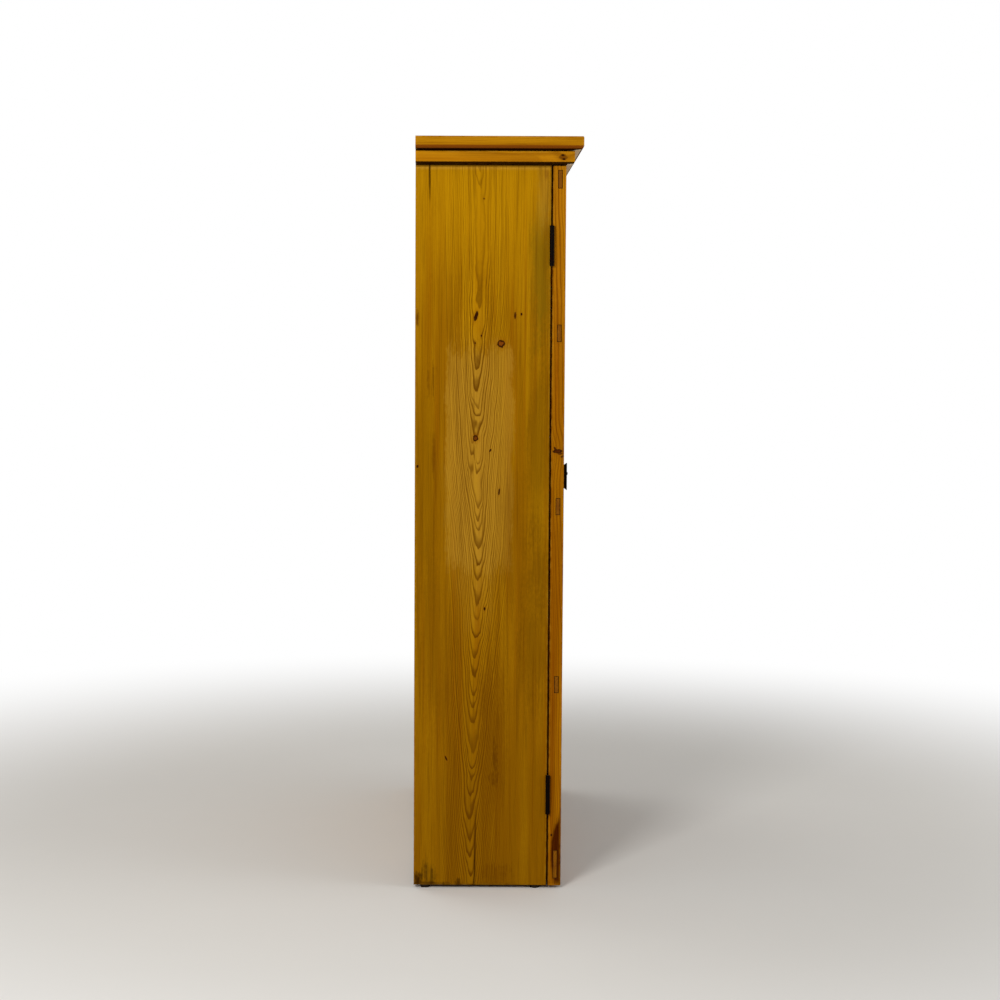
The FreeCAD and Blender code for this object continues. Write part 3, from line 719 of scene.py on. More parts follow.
# %% Mix a pine finish
TONE_DRAW = (0.37, 2.2, 5.1)
STREAKS = (0.32, 0.68)
WARM_SCALE = (140.0, 140.0, 3.1)
WARM_STREAKS = (0.5, 0.72)
HAIRS = (0.45, 0.75)
HAIR_SHARE = 0.42
DEEP_SHADE = (0.75, 0.9)
DUST_SCALE = 14.0
DUST_PATCHES = (0.15, 0.85)
PATCH_SCALE = 70.0
PATCHES = (0.35, 0.65)
WEAR_REACH = 5 * MM
RECESS = (0.5 * MM, 2.5 * MM)
TENON_RIM = (0.0, 0.7)
TENON_DIRT = 0.9
KNOT_SPACING = 110 * MM
BACK_FACE = 11.5 * MM
FAR_OFF = 1.0
EDGE_FALL = 3.0
PINE_RELIEF = 0.35 * MM
STREAK_DULLS = 0.12
RUBBING_SHINES = 0.1
LATE_RISE = 0.35
FIBRE_DIP = 0.5
KNOT_DIP = 0.8
RECESS_SHADE_AND_DIRT = (32, 10, 3, 1.0)
SHADE = (20, 4, 1, 1.0)
KNOT_BROWN = (122, 58, 12, 0.85)
KNOT_DARK = (34, 10, 4, 0.92)
KNOT_GLOW = (138, 78, 6, 0.45)
DUST = (186, 172, 148)


def pine(name, tones, heart, knots=(), stains=()):
    """A pine material; tones are its coats, heart says where the tree's middle lay."""
    material, w = new_material(name)
    grain = w.attribute("grain_place", "Vector")
    seed = w.attribute("board_seed")
    across, through, along = w.parts(grain)
    inward = w.math("MAXIMUM", across - heart["edge"] * MM, 0.0)
    elsewhere = w.math("LESS_THAN", through, BACK_FACE)
    # A mark's side is measured across or through the board, through it at one edge, or across its back.
    sides = {
        "across": across, "through": through, "edge": inward * EDGE_FALL + through,
        "behind": elsewhere * FAR_OFF + across,
    }
    knot = add_knots(w, knots, sides, along)
    knot_share = tones["knot_share"]
    if knot_share:
        scattered = w.place(scattered_group, Grain=grain, Seed=seed, Spacing=KNOT_SPACING, Share=knot_share)
        for mask in KNOT_SHOWS:
            knot[mask] = w.math("MAXIMUM", knot[mask], scattered[mask])
        knot["Bulge"] = scattered["Bulge"] + knot["Bulge"]
    figure = w.place(
        pine_figure, Grain=grain, Seed=seed, Ring_width=heart["ring"] * MM, Heart_depth=heart["depth"] * MM,
        Heart_offset=heart["offset"] * MM, Lean=heart["lean"], Shuffle=heart["shuffle"] * MM,
        Taper=heart["taper"], Bend=heart["bend"] * MM, Clear=heart["clear"] * MM, Wander=heart["wander"] * MM,
        Bulge=knot["Bulge"])
    fibre = figure["Fibre"]

    own_tone = w.sway(w.vector(seed, 1.0, 1.0) * TONE_DRAW, tones["board_shift"])
    streak = w.ease(figure["Streak"] + own_tone, *STREAKS)
    colour = w.blend(streak, paint(*tones["early"]), paint(*tones["second"]))
    *warm, warm_share = tones["warm"]
    narrow = w.noise(grain * WARM_SCALE + w.vector(seed, 0.0, 0.0), detail=3.0)
    colour = w.blend(w.ease(narrow, *WARM_STREAKS) * warm_share, colour, paint(*warm))
    for stain in stains:
        colour = add_stain(w, stain, sides, along, fibre, colour)

    edges = w.place(edge_group)
    # Faces that turn under get painted shade: their own tone, then near-black SHADE where they face almost
    # straight down.
    turned_under = w.attribute("turned_under")
    *under, under_share = tones["under"]
    turned = w.ease(turned_under, *tones["turn"]) * under_share
    settled = w.ease(w.noise(grain * DUST_SCALE, detail=5.0), *DUST_PATCHES)
    near = 1.0 - w.ease(edges["Arris"], 0.0, WEAR_REACH)
    rubbed = (near - turned) * w.ease(w.noise(grain * PATCH_SCALE), *PATCHES)
    # Painted shade, with some dirt, darkens recesses such as the insides of the checks; the tenon rims are
    # dark joints.
    recess_shade = w.ease(edges["Recess"], *RECESS) * tones["recess_share"]
    rim = w.ease(w.attribute("rim"), *TENON_RIM) * TENON_DIRT
    coats = (
        (figure["Late wood"], tones["late"]),
        (w.ease(fibre, *HAIRS), (*tones["late"][:3], HAIR_SHARE)),
        (knot["Halo"], KNOT_GLOW),
        (knot["Core"], KNOT_BROWN),
        (knot["Ring"], KNOT_DARK),
        (w.attribute("end_grain"), tones["end"]),
        (turned, (*under, 1.0)),
        (w.ease(turned_under, *DEEP_SHADE), SHADE),
        # Flat undersides get painted shade; on the front strips of the cornice their tone is a pale painted
        # highlight on bare wood.
        (w.attribute("underside"), tones["below"]),
        (w.attribute("topside") * settled, (*DUST, tones["dust_share"])),
        (rubbed, tones["rubbed"]),
        (w.math("MAXIMUM", recess_shade, rim), RECESS_SHADE_AND_DIRT),
    )
    for mask, (*tint, share) in coats:
        colour = w.blend(mask * share, colour, paint(*tint))

    rough = streak * STREAK_DULLS + tones["rough"] - rubbed * RUBBING_SHINES
    height = figure["Late wood"] * LATE_RISE - fibre * FIBRE_DIP - knot["Ring"] * KNOT_DIP
    relief = w.node("ShaderNodeBump", Strength=0.5, Distance=PINE_RELIEF, Height=height)
    shader = w.node(
        "ShaderNodeBsdfPrincipled", Base_Color=colour, Roughness=rough, Specular_IOR_Level=tones["gloss"],
        Normal=relief["Normal"])
    w.node("ShaderNodeOutputMaterial", Surface=shader["BSDF"])
    return material


print("pine finish ready")

# %% [markdown]
# ## The marks on the seen side
# The left side board fills the photograph, so its marks are placed where they are on the real board: the
# tongues of grain run down a line a little behind the middle, three knots sit in or beside them, the middle
# is worn pale, and the lower end and the strip beside the hinges are darker. On the side boards a mark is
# easiest to measure from the back edge and from the floor, so the lists give those two sizes first, and
# on_side moves them to the board's middle.

# %% Choose the tones and the heart of the sides
# On the sides the tones for turned faces and for undersides are painted shade.
SIDE_TONES = {
    "early": (166, 116, 6), "second": (146, 96, 3), "late": (96, 55, 2, 0.9), "warm": (140, 78, 2, 0.4),
    "end": (96, 54, 6, 0.75), "rubbed": (186, 136, 34, 0.25), "under": (30, 8, 1, 0.6),
    "below": (96, 58, 6, 0.5), "dust_share": 0.2, "recess_share": 0.95, "rough": 0.44, "gloss": 0.0,
    "board_shift": 0.0, "knot_share": 0.0, "turn": (0.1, 0.75),
}
SIDE_HEART = {
    "ring": 3.0, "depth": 26, "offset": 7.5, "lean": -0.0175, "shuffle": 0, "taper": 0.086, "bend": 330,
    "clear": 32, "wander": 2.8, "edge": 0,
}
low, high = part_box("left_side")
SIDE_MIDDLE = (low.z + high.z) / 2 / MM
SIDE_HALF_DEPTH = (high.y - low.y) / 2 / MM


def on_side(marks):
    """Marks on a side board that were measured from its back edge and from the floor."""
    return [mark._replace(side=SIDE_HALF_DEPTH - mark.side, along=mark.along - SIDE_MIDDLE) for mark in marks]


print("a side is", round(2 * SIDE_HALF_DEPTH), "mm deep")

# %% List the knots of the left side
SIDE_KNOTS = [
    Knot(115.6, 1105, 3.0, 2.8, lean=0.25, push=0.5),
    Knot(163.6, 1053, 6.6, 1.0, solid=0.1),
    Knot(115.8, 873, 4.8, 1.1, push=0.3, solid=0.45),
    Knot(117.5, 905, 2.0, push=1.35, shown=0.0),
    Knot(107.0, 962, 3.0, push=-0.6, shown=0.0),
    Knot(127.0, 840, 3.5, push=-0.6, shown=0.0),
    Knot(127.0, 760, 4.0, push=-0.6, shown=0.0),
    Knot(190.0, 1106, 1.9, 3.2, shown=0.8),
    Knot(201.6, 1109, 1.5, 1.8),
    Knot(125.9, 1068, 1.4, 1.2),
    Knot(114.0, 1054, 1.3, 1.2),
    Knot(144.0, 850, 1.5, 1.6, lean=0.4),
    Knot(161.3, 771, 1.4, 4.0, lean=0.1),
    Knot(134.8, 545, 1.8, 1.8),
    Knot(61.8, 255, 1.5, 3.0, lean=-0.4),
    Knot(129.8, 1326, 1.7, 1.0, shown=0.6),
    Knot(5.2, 819, 2.0),
]
BURIED_BRANCH = [Knot(115 - 0.9 * step, 864 - 10 * step, 1.5, push=1.6, shown=0.0) for step in range(6)]
print(len(SIDE_KNOTS), "knots and a branch that only pushes the rings")

# %% List the stains of the left side and mix its pine
PALE = (192, 138, 6)
BLEACHED = (182, 136, 40)
BROWN = (126, 80, 2)
OLIVE = (104, 84, 10)
NEAR_BLACK = (36, 14, 2)
DRY_INSIDE = (186, 142, 74)
INNER_REACH = 11
SIDE_STAINS = [
    Stain(128, 1400, 260, 360, 0.6, PALE, 0.15),
    Stain(128, 100, 260, 480, 0.6, BROWN, 0.2),
    Stain(116, 800, 76, 370, 0.3, BLEACHED, 0.25, firm=0.4),
    Stain(123, 834, 70, 232, 0.45, BLEACHED, 0.16, firm=0.84, square=0.85),
    Stain(232, 470, 44, 190, 0.5, (104, 66, 2), 0.3),
    Stain(34, 480, 64, 230, 0.4, (112, 70, 2), 0.3),
    Stain(248, 1372, 6, 14, 0.6, (116, 60, 3), 0.5),
    Stain(4, 1100, 5, 24, 0.8, (88, 42, 3), 0.5),
    Stain(122, 1085, 12, 26, 0.4, (132, 72, 4), 0.4),
    Stain(118, 1100, 46, 110, 0.4, PALE, 0.3),
    Stain(128, 1384, 3000, 6, 0.35, (206, 154, 56), 0.1, firm=0.0),
    Stain(240, 1190, 30, 210, 0.55, OLIVE, 0.45),
    Stain(244, 1330, 22, 110, 0.35, BLEACHED, 0.5),
    Stain(236, 860, 34, 260, 0.5, (108, 72, 2)),
    Stain(236, 620, 34, 130, 0.5, (104, 64, 2)),
    Stain(190, 690, 40, 260, 0.35, (112, 68, 2), 0.4),
    Stain(150, 300, 40, 260, 0.4, (112, 64, 2), 0.4),
    Stain(20, 760, 46, 320, 0.4, (118, 78, 2)),
    Stain(154, 255, 10, 46, 0.65, (72, 34, 2), 0.7, streaky=True),
    Stain(150, 215, 14, 18, 0.6, (76, 34, 2), 0.8, streaky=True),
    Stain(32, 985, 12, 46, 0.7, (100, 54, 2), 0.7, streaky=True),
    Stain(36, 840, 4, 60, 0.5, (92, 44, 2), 0.5),
    Stain(8, 16, 14, 24, 0.9, NEAR_BLACK, 0.7),
    Stain(28, 24, 22, 36, 0.8, (62, 44, 6), 0.75, streaky=True),
    Stain(30, 8, 60, 6, 0.8, NEAR_BLACK, 0.7),
    Stain(86, 12, 9, 13, 0.8, NEAR_BLACK, 0.8),
    Stain(150, 30, 40, 24, 0.4, (80, 36, 2), 0.9, streaky=True),
    Stain(120, 6, 170, 7, 0.45, (74, 36, 2), 0.5),
    # Painted shadow of the cornice on the side: a near-black line right under it and a softer brown fringe
    # below.
    Stain(128, 1391, 3000, 4.2, 0.98, (20, 5, 1), 0.06, firm=0.3),
    Stain(128, 1391, 3000, 7.0, 0.4, (60, 28, 2), 0.06, firm=0.75),
    # Painted shade in the seam: a dark line down the front edge of the side, beside the doors.
    Stain(257, 700, 1.4, 3000, 0.7, (60, 24, 2), 0.05, firm=0.5),
    # Painted shade, with some dirt, along the two checks: one near the top at the back and one near the
    # floor.
    Stain(26.7, 1372, 3.0, 75, 0.75, NEAR_BLACK, 0.2),
    Stain(119, 80, 3.2, 110, 0.6, (70, 28, 2), 0.2),
]


def inner_face(side):
    """The dry wood on the face of a side board that looks into the cabinet."""
    return Stain(side, 0, 8, 4000, 0.85, DRY_INSIDE, 0.0, firm=0.5, seen_on="through")


left_pine = pine(
    "left_side_pine", SIDE_TONES, SIDE_HEART, on_side(SIDE_KNOTS + BURIED_BRANCH),
    [*on_side(SIDE_STAINS), inner_face(INNER_REACH)])
print(left_pine.name, len(SIDE_STAINS), "stains")

# %% [markdown]
# ## The other pine
# The photograph shows only one side, so the other boards get figure of the same trees with their own rings:
# the number carried by each board shifts the heart line and the noise. The doors are redder and straighter
# in the grain, the cornice is the palest, and the inside and the back are dry wood that has had no wax. The
# edge of the hinge stile has a dark knot above the handle and a dark streak near the floor, which are
# placed on that stile alone.

# %% List the tones and hearts of the other pine
# On the cornice those tones are near black: painted shade under the strips and on their lower chamfers.
CORNICE_TONES = {
    **SIDE_TONES, "early": (192, 128, 14), "second": (172, 108, 8), "late": (118, 64, 3, 0.4),
    "rubbed": (200, 146, 44, 0.4), "under": (20, 4, 1, 0.97), "below": (24, 6, 1, 0.95), "dust_share": 0.3,
    "recess_share": 0.0, "board_shift": 0.3,
}
# On the cap the turned faces take a reddish brown, painted shade on its lower round; its flat underside keeps
# the near-black painted shade.
CAP_TONES = {
    **CORNICE_TONES, "early": (182, 124, 12), "second": (164, 106, 8), "under": (118, 60, 10, 0.97),
    "turn": (0.0, 0.1),
}
# The undersides of the front cornice and cap strips are bare pine, painted paler still as a highlight.
BARE_UNDERSIDE_HIGHLIGHT = {"below": (236, 222, 192, 0.9)}
DOOR_TONES = {
    **SIDE_TONES, "early": (170, 108, 6), "second": (146, 86, 3), "late": (94, 44, 2, 0.55),
    "warm": (128, 60, 2, 0.5), "end": (98, 56, 5, 0.5), "rubbed": (182, 124, 26, 0.4), "recess_share": 0.0,
    "gloss": 0.05, "board_shift": 0.45, "knot_share": 0.22,
}
BEAD_TONES = {**DOOR_TONES, "knot_share": 0.0}
STILE_TONES = {
    **BEAD_TONES, "early": (174, 113, 6), "late": (94, 44, 2, 0.6), "board_shift": 0.0, "gloss": 0.0,
}
DRY_TONES = {
    **SIDE_TONES, "early": (198, 156, 88), "second": (180, 134, 64), "late": (138, 92, 36, 0.5),
    "warm": (160, 108, 46, 0.35), "end": (112, 72, 28, 0.75), "rubbed": (200, 160, 96, 0.4),
    "recess_share": 0.0, "rough": 0.62, "board_shift": 0.5, "knot_share": 0.3,
}
# On the back boards the rubbed arris coat is dark: painted shade in the joints between the boards.
BACK_TONES = {
    **DRY_TONES, "early": (186, 148, 92), "second": (158, 116, 62), "late": (116, 78, 34, 0.55),
    "rubbed": (74, 50, 24, 0.85), "board_shift": 0.7, "knot_share": 0.42,
}
RIGHT_HEART = {**SIDE_HEART, "offset": -14, "taper": -0.07, "bend": 2000}
WIDE_HEART = {
    **SIDE_HEART, "ring": 3.2, "depth": 34, "offset": 0, "lean": 0.0, "shuffle": 60, "taper": 0.05,
    "bend": 2000, "clear": 40, "wander": 2.2,
}
NARROW_HEART = {**WIDE_HEART, "ring": 3.0, "depth": 60, "taper": 0.022, "clear": 80, "wander": 1.2}
CORNICE_HEART = {**NARROW_HEART, "depth": 110, "taper": 0.012, "wander": 0.7}
DOOR_HEART = {**NARROW_HEART, "ring": 3.3, "wander": 1.6}
STILE_HEART = {**DOOR_HEART, "ring": 4.0, "edge": -21}
print("tones of", len(SIDE_TONES), "values and hearts of", len(SIDE_HEART))

# %% List the marks of the other pine
RIGHT_KNOTS = [
    Knot(92, 1180, 4.8, 1.2, push=2.0),
    Knot(150, 640, 5.4, 1.2, push=1.6),
    Knot(70, 420, 2.2, 2.6, lean=0.3),
    Knot(205, 930, 1.8, 2.0),
]
RIGHT_STAINS = [
    Stain(128, 1390, 190, 330, 0.6, (186, 132, 20), 0.15),
    Stain(128, 120, 210, 420, 0.55, (128, 82, 2), 0.2),
    Stain(130, 800, 70, 230, 0.5, (180, 134, 52), 0.3),
    Stain(240, 1000, 30, 330, 0.5, (112, 86, 10), 0.4),
]
CORNICE_KNOTS = [
    Knot(0.4, -128, 5.0, 1.4, push=0.5, shown=0.45),
    Knot(3.7, -127, 1.9, 1.5, push=0.0),
    Knot(-3.6, -129, 1.6, 1.8, push=0.0),
]
STILE_KNOTS = [
    Knot(0.0, 152, 8.0, 0.45, lean=0.4, push=0.8, solid=0.7, seen_on="edge"),
    Knot(1.0, 153, 4.0, 0.6, lean=0.4, push=0.0, shown=0.8, seen_on="edge"),
    Knot(-9.5, 142, 3.4, 0.6, lean=0.6, push=0.0, shown=0.8, seen_on="edge"),
    Knot(5.0, 157, 2.0, 1.6, lean=-0.4, push=0.0, shown=0.8, seen_on="edge"),
    Knot(-5.0, 147, 4.2, 0.4, lean=0.5, push=0.0, shown=0.7, seen_on="edge"),
    Knot(6.0, -592, 1.6, 1.4, seen_on="edge"),
]
STILE_STAINS = [
    Stain(0, 640, 90, 520, 0.6, (190, 124, 14), 0.15),
    Stain(-10, -622, 19, 80, 0.95, (52, 6, 1), 0.12, firm=0.7, lean=0.05, seen_on="edge"),
    Stain(-12, -560, 5, 130, 0.75, (84, 30, 2), 0.3, seen_on="edge"),
    # Painted shade on the back of the hinge stile, where it stands in the seam behind the side.
    Stain(-14, 0, 18, 4000, 0.8, (56, 20, 3), 0.04, firm=0.75, seen_on="behind"),
]
HANDLE_STAINS = [Stain(0, 84, 34, 100, 0.55, (96, 50, 4), 0.4)]
print(len(RIGHT_KNOTS), "knots on the right side and", len(STILE_KNOTS), "on the hinge stile")

# %% Mix the other pine finishes
right_stains = [*on_side(RIGHT_STAINS), inner_face(-INNER_REACH)]
pines = {
    "left_side": left_pine,
    "right_side": pine("right_side_pine", SIDE_TONES, RIGHT_HEART, on_side(RIGHT_KNOTS), right_stains),
    "left_hinge_stile": pine("left_hinge_stile_pine", STILE_TONES, STILE_HEART, STILE_KNOTS, STILE_STAINS),
    "cornice_left": pine("left_cornice_pine", CORNICE_TONES, CORNICE_HEART, CORNICE_KNOTS),
    "cornice_front": pine("front_cornice_pine", {**CORNICE_TONES, **BARE_UNDERSIDE_HIGHLIGHT}, CORNICE_HEART),
    "cap_front": pine("front_cap_pine", {**CAP_TONES, **BARE_UNDERSIDE_HIGHLIGHT}, CORNICE_HEART),
    "cap_left": pine("left_cap_pine", CAP_TONES, CORNICE_HEART),
    "cornice_pine": pine("cornice_pine", CORNICE_TONES, CORNICE_HEART),
    "right_meeting_stile": pine("handle_stile_pine", DOOR_TONES, DOOR_HEART, (), HANDLE_STAINS),
    "door_pine": pine("door_pine", DOOR_TONES, DOOR_HEART),
    "case_pine": pine("case_pine", DRY_TONES, WIDE_HEART),
    "back_pine": pine("back_pine", BACK_TONES, WIDE_HEART),
    "bead_pine": pine("bead_pine", BEAD_TONES, DOOR_HEART),
}
pines["cap_right"] = pines["cap_left"]
print(len(pines), "pine finishes")

# %% [markdown]
# ## Cutting the boards
# Every wooden solid becomes a board with rounded arrises. The sides are rounded only along the edges of the
# whole board, so that their thin shrinkage checks stay crisp. The back boards and the top board are pulled
# in by a hair, as dry wood shrinks, which leaves room for nail heads. The ends of the through tenons get a
# narrow dark rim and stand a hair lower at their edges, as they do once the glue line has opened.

# %% Cut every board
LONG_EDGE = 60 * MM
ARRIS = {"side_pine": 0.8, "cornice_pine": 0.9, "door_pine": 0.8, "case_pine": 1.2, "back_pine": 1.6}
SHRINK_BACK = 0.6 * MM
SHRINK_TOP = 0.4 * MM
RIM_WIDTH = 1.7 * MM
RIM_DROP = 0.4 * MM
RAIL_ENDINGS = ("_rail", "_bar")
SQUARE_ON = 0.99


def pull_in(copy, axis, amount):
    """Moves the far face of a board in by a little."""
    far = max(vertex.co[axis] for vertex in copy.verts)
    for vertex in copy.verts:
        if vertex.co[axis] > far - WELD_DISTANCE:
            vertex.co[axis] = far - amount


def rim_tenons(copy):
    """Insets both tenon ends and marks their outlines."""
    rim = copy.verts.layers.float.new("rim")
    ends = [corner.x for corner in box_of(copy.verts)]
    for face in list(copy.faces):
        middle = face.calc_center_median()
        if abs(face.normal.x) > SQUARE_ON and min(abs(middle.x - end) for end in ends) < WELD_DISTANCE:
            inward = -face.normal.copy()
            band = bmesh.ops.inset_region(copy, faces=[face], thickness=RIM_WIDTH)["faces"]
            for vertex in {vertex for strip in band for vertex in strip.verts} - set(face.verts):
                vertex.co += inward * RIM_DROP
                vertex[rim] = 1.0


def cut_board(node):
    copy = welded_copy(node)
    slot = slot_of[node]
    if slot == "back_pine":
        pull_in(copy, 1, SHRINK_BACK)
    if node == "top_board":
        pull_in(copy, 2, SHRINK_TOP)
    round_arrises(copy, ARRIS[slot] * MM, LONG_EDGE, outer_only=slot == "side_pine")
    if node.endswith(RAIL_ENDINGS) and body_of[node] != "carcass":
        rim_tenons(copy)
    write_grain(copy, node)
    return hand_over(copy, f"{node}_waxed", pines.get(node) or pines[slot], node)


boards = [cut_board(node) for node, slot in sorted(slot_of.items()) if slot in ARRIS]
print(len(boards), "boards,", sum(len(board.data.polygons) for board in boards), "faces")

# %% [markdown]
# ## Trees that grow geometry
# Beads, screws and nails each repeat one small shape many times. Copying meshes in a loop would do, but a
# geometry tree keeps the rule visible and its sizes easy to change: it takes a mesh of loose points, each
# with the facts that its copy needs, and grows the finished mesh from them. The result is then kept as a
# plain mesh, so nothing depends on the tree any more.


# %% Add nodes to a geometry tree
class Growth(Wiring):
    """Wiring for a geometry tree."""

    def named(self, name, kind="FLOAT_VECTOR"):
        return self.node("GeometryNodeInputNamedAttribute", {"data_type": kind}, Name=name)["Attribute"]

    def store(self, geometry, name, value, kind="FLOAT_VECTOR"):
        facts = {"Geometry": geometry, "Name": name, "Value": value}
        return self.node("GeometryNodeStoreNamedAttribute", {"data_type": kind}, **facts)["Geometry"]

    def chance(self, lowest, highest, seed):
        limits = {"Min_001": lowest, "Max_001": highest}
        return self.node("FunctionNodeRandomValue", {"data_type": "FLOAT"}, Seed=seed, **limits)["Value_001"]

    def cone(self, sides, top, bottom, depth, sunk):
        """A blunt cone whose foot is sunk below the origin."""
        sizes = {"Radius_Top": top, "Radius_Bottom": bottom, "Depth": depth}
        shape = self.node("GeometryNodeMeshCone", Vertices=sides, **sizes)["Mesh"]
        place = self.vector(0.0, 0.0, sunk * -1.0)
        return self.node("GeometryNodeTransform", Geometry=shape, Translation=place)["Geometry"]

    def copies(self, points, shape, **more):
        """One real copy of a shape on every point."""
        placed = self.node("GeometryNodeInstanceOnPoints", Points=points, Instance=shape, **more)
        return self.node("GeometryNodeRealizeInstances", Geometry=placed["Instances"])["Geometry"]

    def end(self, geometry, finish):
        """Gives the geometry its finish and leaves the tree with it."""
        dressed = self.node("GeometryNodeSetMaterial", Geometry=geometry, Material=finish)
        self.node("NodeGroupOutput", Geometry=dressed["Geometry"])
        return self.tree


def geometry_tree(name, lengths):
    """A tree that takes points, some lengths, a seed and a finish: its wiring and inputs."""
    tree = bpy.data.node_groups.new(name, "GeometryNodeTree")
    sockets = {"Points": "Geometry", **dict.fromkeys(lengths, "Float"), "Seed": "Int", "Finish": "Material"}
    for label, kind in sockets.items():
        tree.interface.new_socket(label, in_out="INPUT", socket_type=f"NodeSocket{kind}")
    tree.interface.new_socket("Geometry", in_out="OUTPUT", socket_type="NodeSocketGeometry")
    w = Growth(tree)
    return w, w.node("NodeGroupInput")


# %% Set out points and grow a tree on them
def points_object(name, spots, **facts):
    """A mesh of loose points; each fact is a list with one vector or number for each point."""
    mesh = bpy.data.meshes.new(name)
    mesh.from_pydata(spots, [], [])
    for label, values in facts.items():
        if isinstance(values[0], float):
            mesh.attributes.new(label, "FLOAT", "POINT").data.foreach_set("value", values)
        else:
            flat = [part for value in values for part in value]
            mesh.attributes.new(label, "FLOAT_VECTOR", "POINT").data.foreach_set("vector", flat)
    return new_object(name, mesh)


def grow(holder, tree, values):
    """Runs a geometry tree on an object and keeps the result as a plain mesh."""
    modifier = holder.modifiers.new(tree.name, "NODES")
    modifier.node_group = tree
    for item in tree.interface.items_tree:
        if item.in_out == "INPUT" and item.name in values:
            modifier[item.identifier] = values[item.name]
    scene.view_layers[0].update()
    plain = bpy.data.meshes.new_from_object(holder.evaluated_get(bpy.context.evaluated_depsgraph_get()))
    holder.modifiers.clear()
    holder.data = plain
    plain.set_sharp_from_angle(angle=SMOOTH_ANGLE)
    return holder


print("geometry helpers ready")

# %% [markdown]
# ## Glazing beads
# Behind each pane four thin quarter-round strips hold the glass, mitred at the corners. Every strip has the
# same section and only its length differs, so one tree makes all of them: it sweeps a quarter circle along
# a short line, sets a copy on the middle of every pane side, and stretches each copy to its own length. The
# stretch leaves out how far a point lies from the outside, which cuts both mitres at 45 degrees. A sweep
# turns its section half round on this line, so the arc starts at half a turn.

# %% Build the bead tree
BACKWARD = Vector((0, 1, 0))
BEAD_STEPS = 7


def build_bead_tree():
    w, given = geometry_tree("glazing_beads", ("Width", "Depth", "Gap"))
    gap = given["Gap"]
    quarter = w.node(
        "GeometryNodeCurveArc", {"mode": "RADIUS"}, Resolution=BEAD_STEPS, Radius=1.0, Start_Angle=math.pi,
        Sweep_Angle=math.pi / 2, Connect_Center=True)["Curve"]
    size = w.vector(given["Width"], given["Depth"], 1.0)
    section = w.node("GeometryNodeTransform", Geometry=quarter, Scale=size)["Geometry"]
    line = w.node("GeometryNodeCurvePrimitiveLine", Start=(-1, 0, 0), End=(1, 0, 0))["Curve"]
    swept = w.node("GeometryNodeCurveToMesh", Curve=line, Profile_Curve=section, Fill_Caps=True)["Mesh"]
    position = w.node("GeometryNodeInputPosition")["Position"]
    points = w.store(given["Points"], "middle", position)
    points = w.store(points, "board_seed", w.chance(0.0, 100.0, given["Seed"]), "FLOAT")
    real = w.copies(points, w.store(swept, "on_strip", position))

    way, inset, rise = w.parts(w.named("on_strip"))
    half_length = w.named("half_length", "FLOAT")
    ahead = way * (half_length - inset - gap)
    aside = w.named("inward") * (inset + gap)
    place = w.named("middle") + w.named("run") * ahead + aside + w.vector(0.0, rise, 0.0)
    real = w.node("GeometryNodeSetPosition", Geometry=real, Position=place)["Geometry"]
    half_width = given["Width"] * 0.5
    half_depth = given["Depth"] * 0.5
    real = w.store(real, "grain_place", w.vector(inset - half_width, rise - half_depth, ahead))
    real = w.store(real, "board_half", w.vector(half_width, half_depth, half_length))
    return w.end(real, given["Finish"])


bead_tree = build_bead_tree()
print(bead_tree.name, len(bead_tree.nodes), "nodes")

# %% Fit the beads
BEAD_WIDTH = 7.8 * MM
BEAD_GAP = 0.15 * MM
BEAD_PROUD = 0.7 * MM
BEAD_OUTSIDE = 1 * MM
BEAD_SEED = 5
INWARD = [Vector(way) for way in ((1, 0, 0), (-1, 0, 0), (0, 0, 1), (0, 0, -1))]
PANES = {side: [f"{side}_pane_{number}" for number in range(1, 5)] for side in ("left", "right")}


def pane_sides(pane):
    """Each side of a pane's bead frame: its middle, the way it runs, the way inward and half its length."""
    low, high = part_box(pane)
    centre = (low + high) / 2
    centre.y = high.y
    half = (high - low) / 2 + Vector((BEAD_OUTSIDE, 0, BEAD_OUTSIDE))
    sides = []
    for inward in INWARD:
        run = inward.cross(BACKWARD)
        sides.append((centre - inward * abs(inward.dot(half)), run, inward, abs(run.dot(half))))
    return sides


def bead_depth(side):
    """How far the beads stand out from the glass, a hair past the back of the door."""
    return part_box(f"{side}_glazing_beads")[1].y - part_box(PANES[side][0])[1].y + BEAD_PROUD


def fit_beads(side, seed):
    node = f"{side}_glazing_beads"
    middles, runs, inwards, halves = zip(*[edge for pane in PANES[side] for edge in pane_sides(pane)])
    holder = points_object(f"{node}_rounded", middles, run=runs, inward=inwards, half_length=halves)
    sizes = {"Width": BEAD_WIDTH, "Depth": bead_depth(side), "Gap": BEAD_GAP}
    grow(holder, bead_tree, {**sizes, "Seed": seed, "Finish": pines["bead_pine"]})
    return adopt(holder, node)


beads = [fit_beads(side, seed) for seed, side in enumerate(PANES, start=BEAD_SEED)]
print(len(beads), "sets of beads,", [len(bead.data.polygons) for bead in beads], "faces")

# %% [markdown]
# ## Old glass
# Hand-made sheet glass is clear, a little green, and never quite flat, so reflections ripple. The panes
# have the right shape already and stay as they are. A low bump makes the ripple. Glass also casts a full
# shadow in a path tracer unless shadow rays may pass, so those rays see a clear film instead.

# %% Glaze the doors
GLASS_TINT = paint(248, 252, 249)
RIPPLE = 0.5 * MM
RIPPLE_SCALE = (9.0, 9.0, 5.0)
FILM = 0.012
FILM_SCALE = 30.0
FILM_PATCHES = (0.55, 0.85)
CLEAR_IOR = 1.27


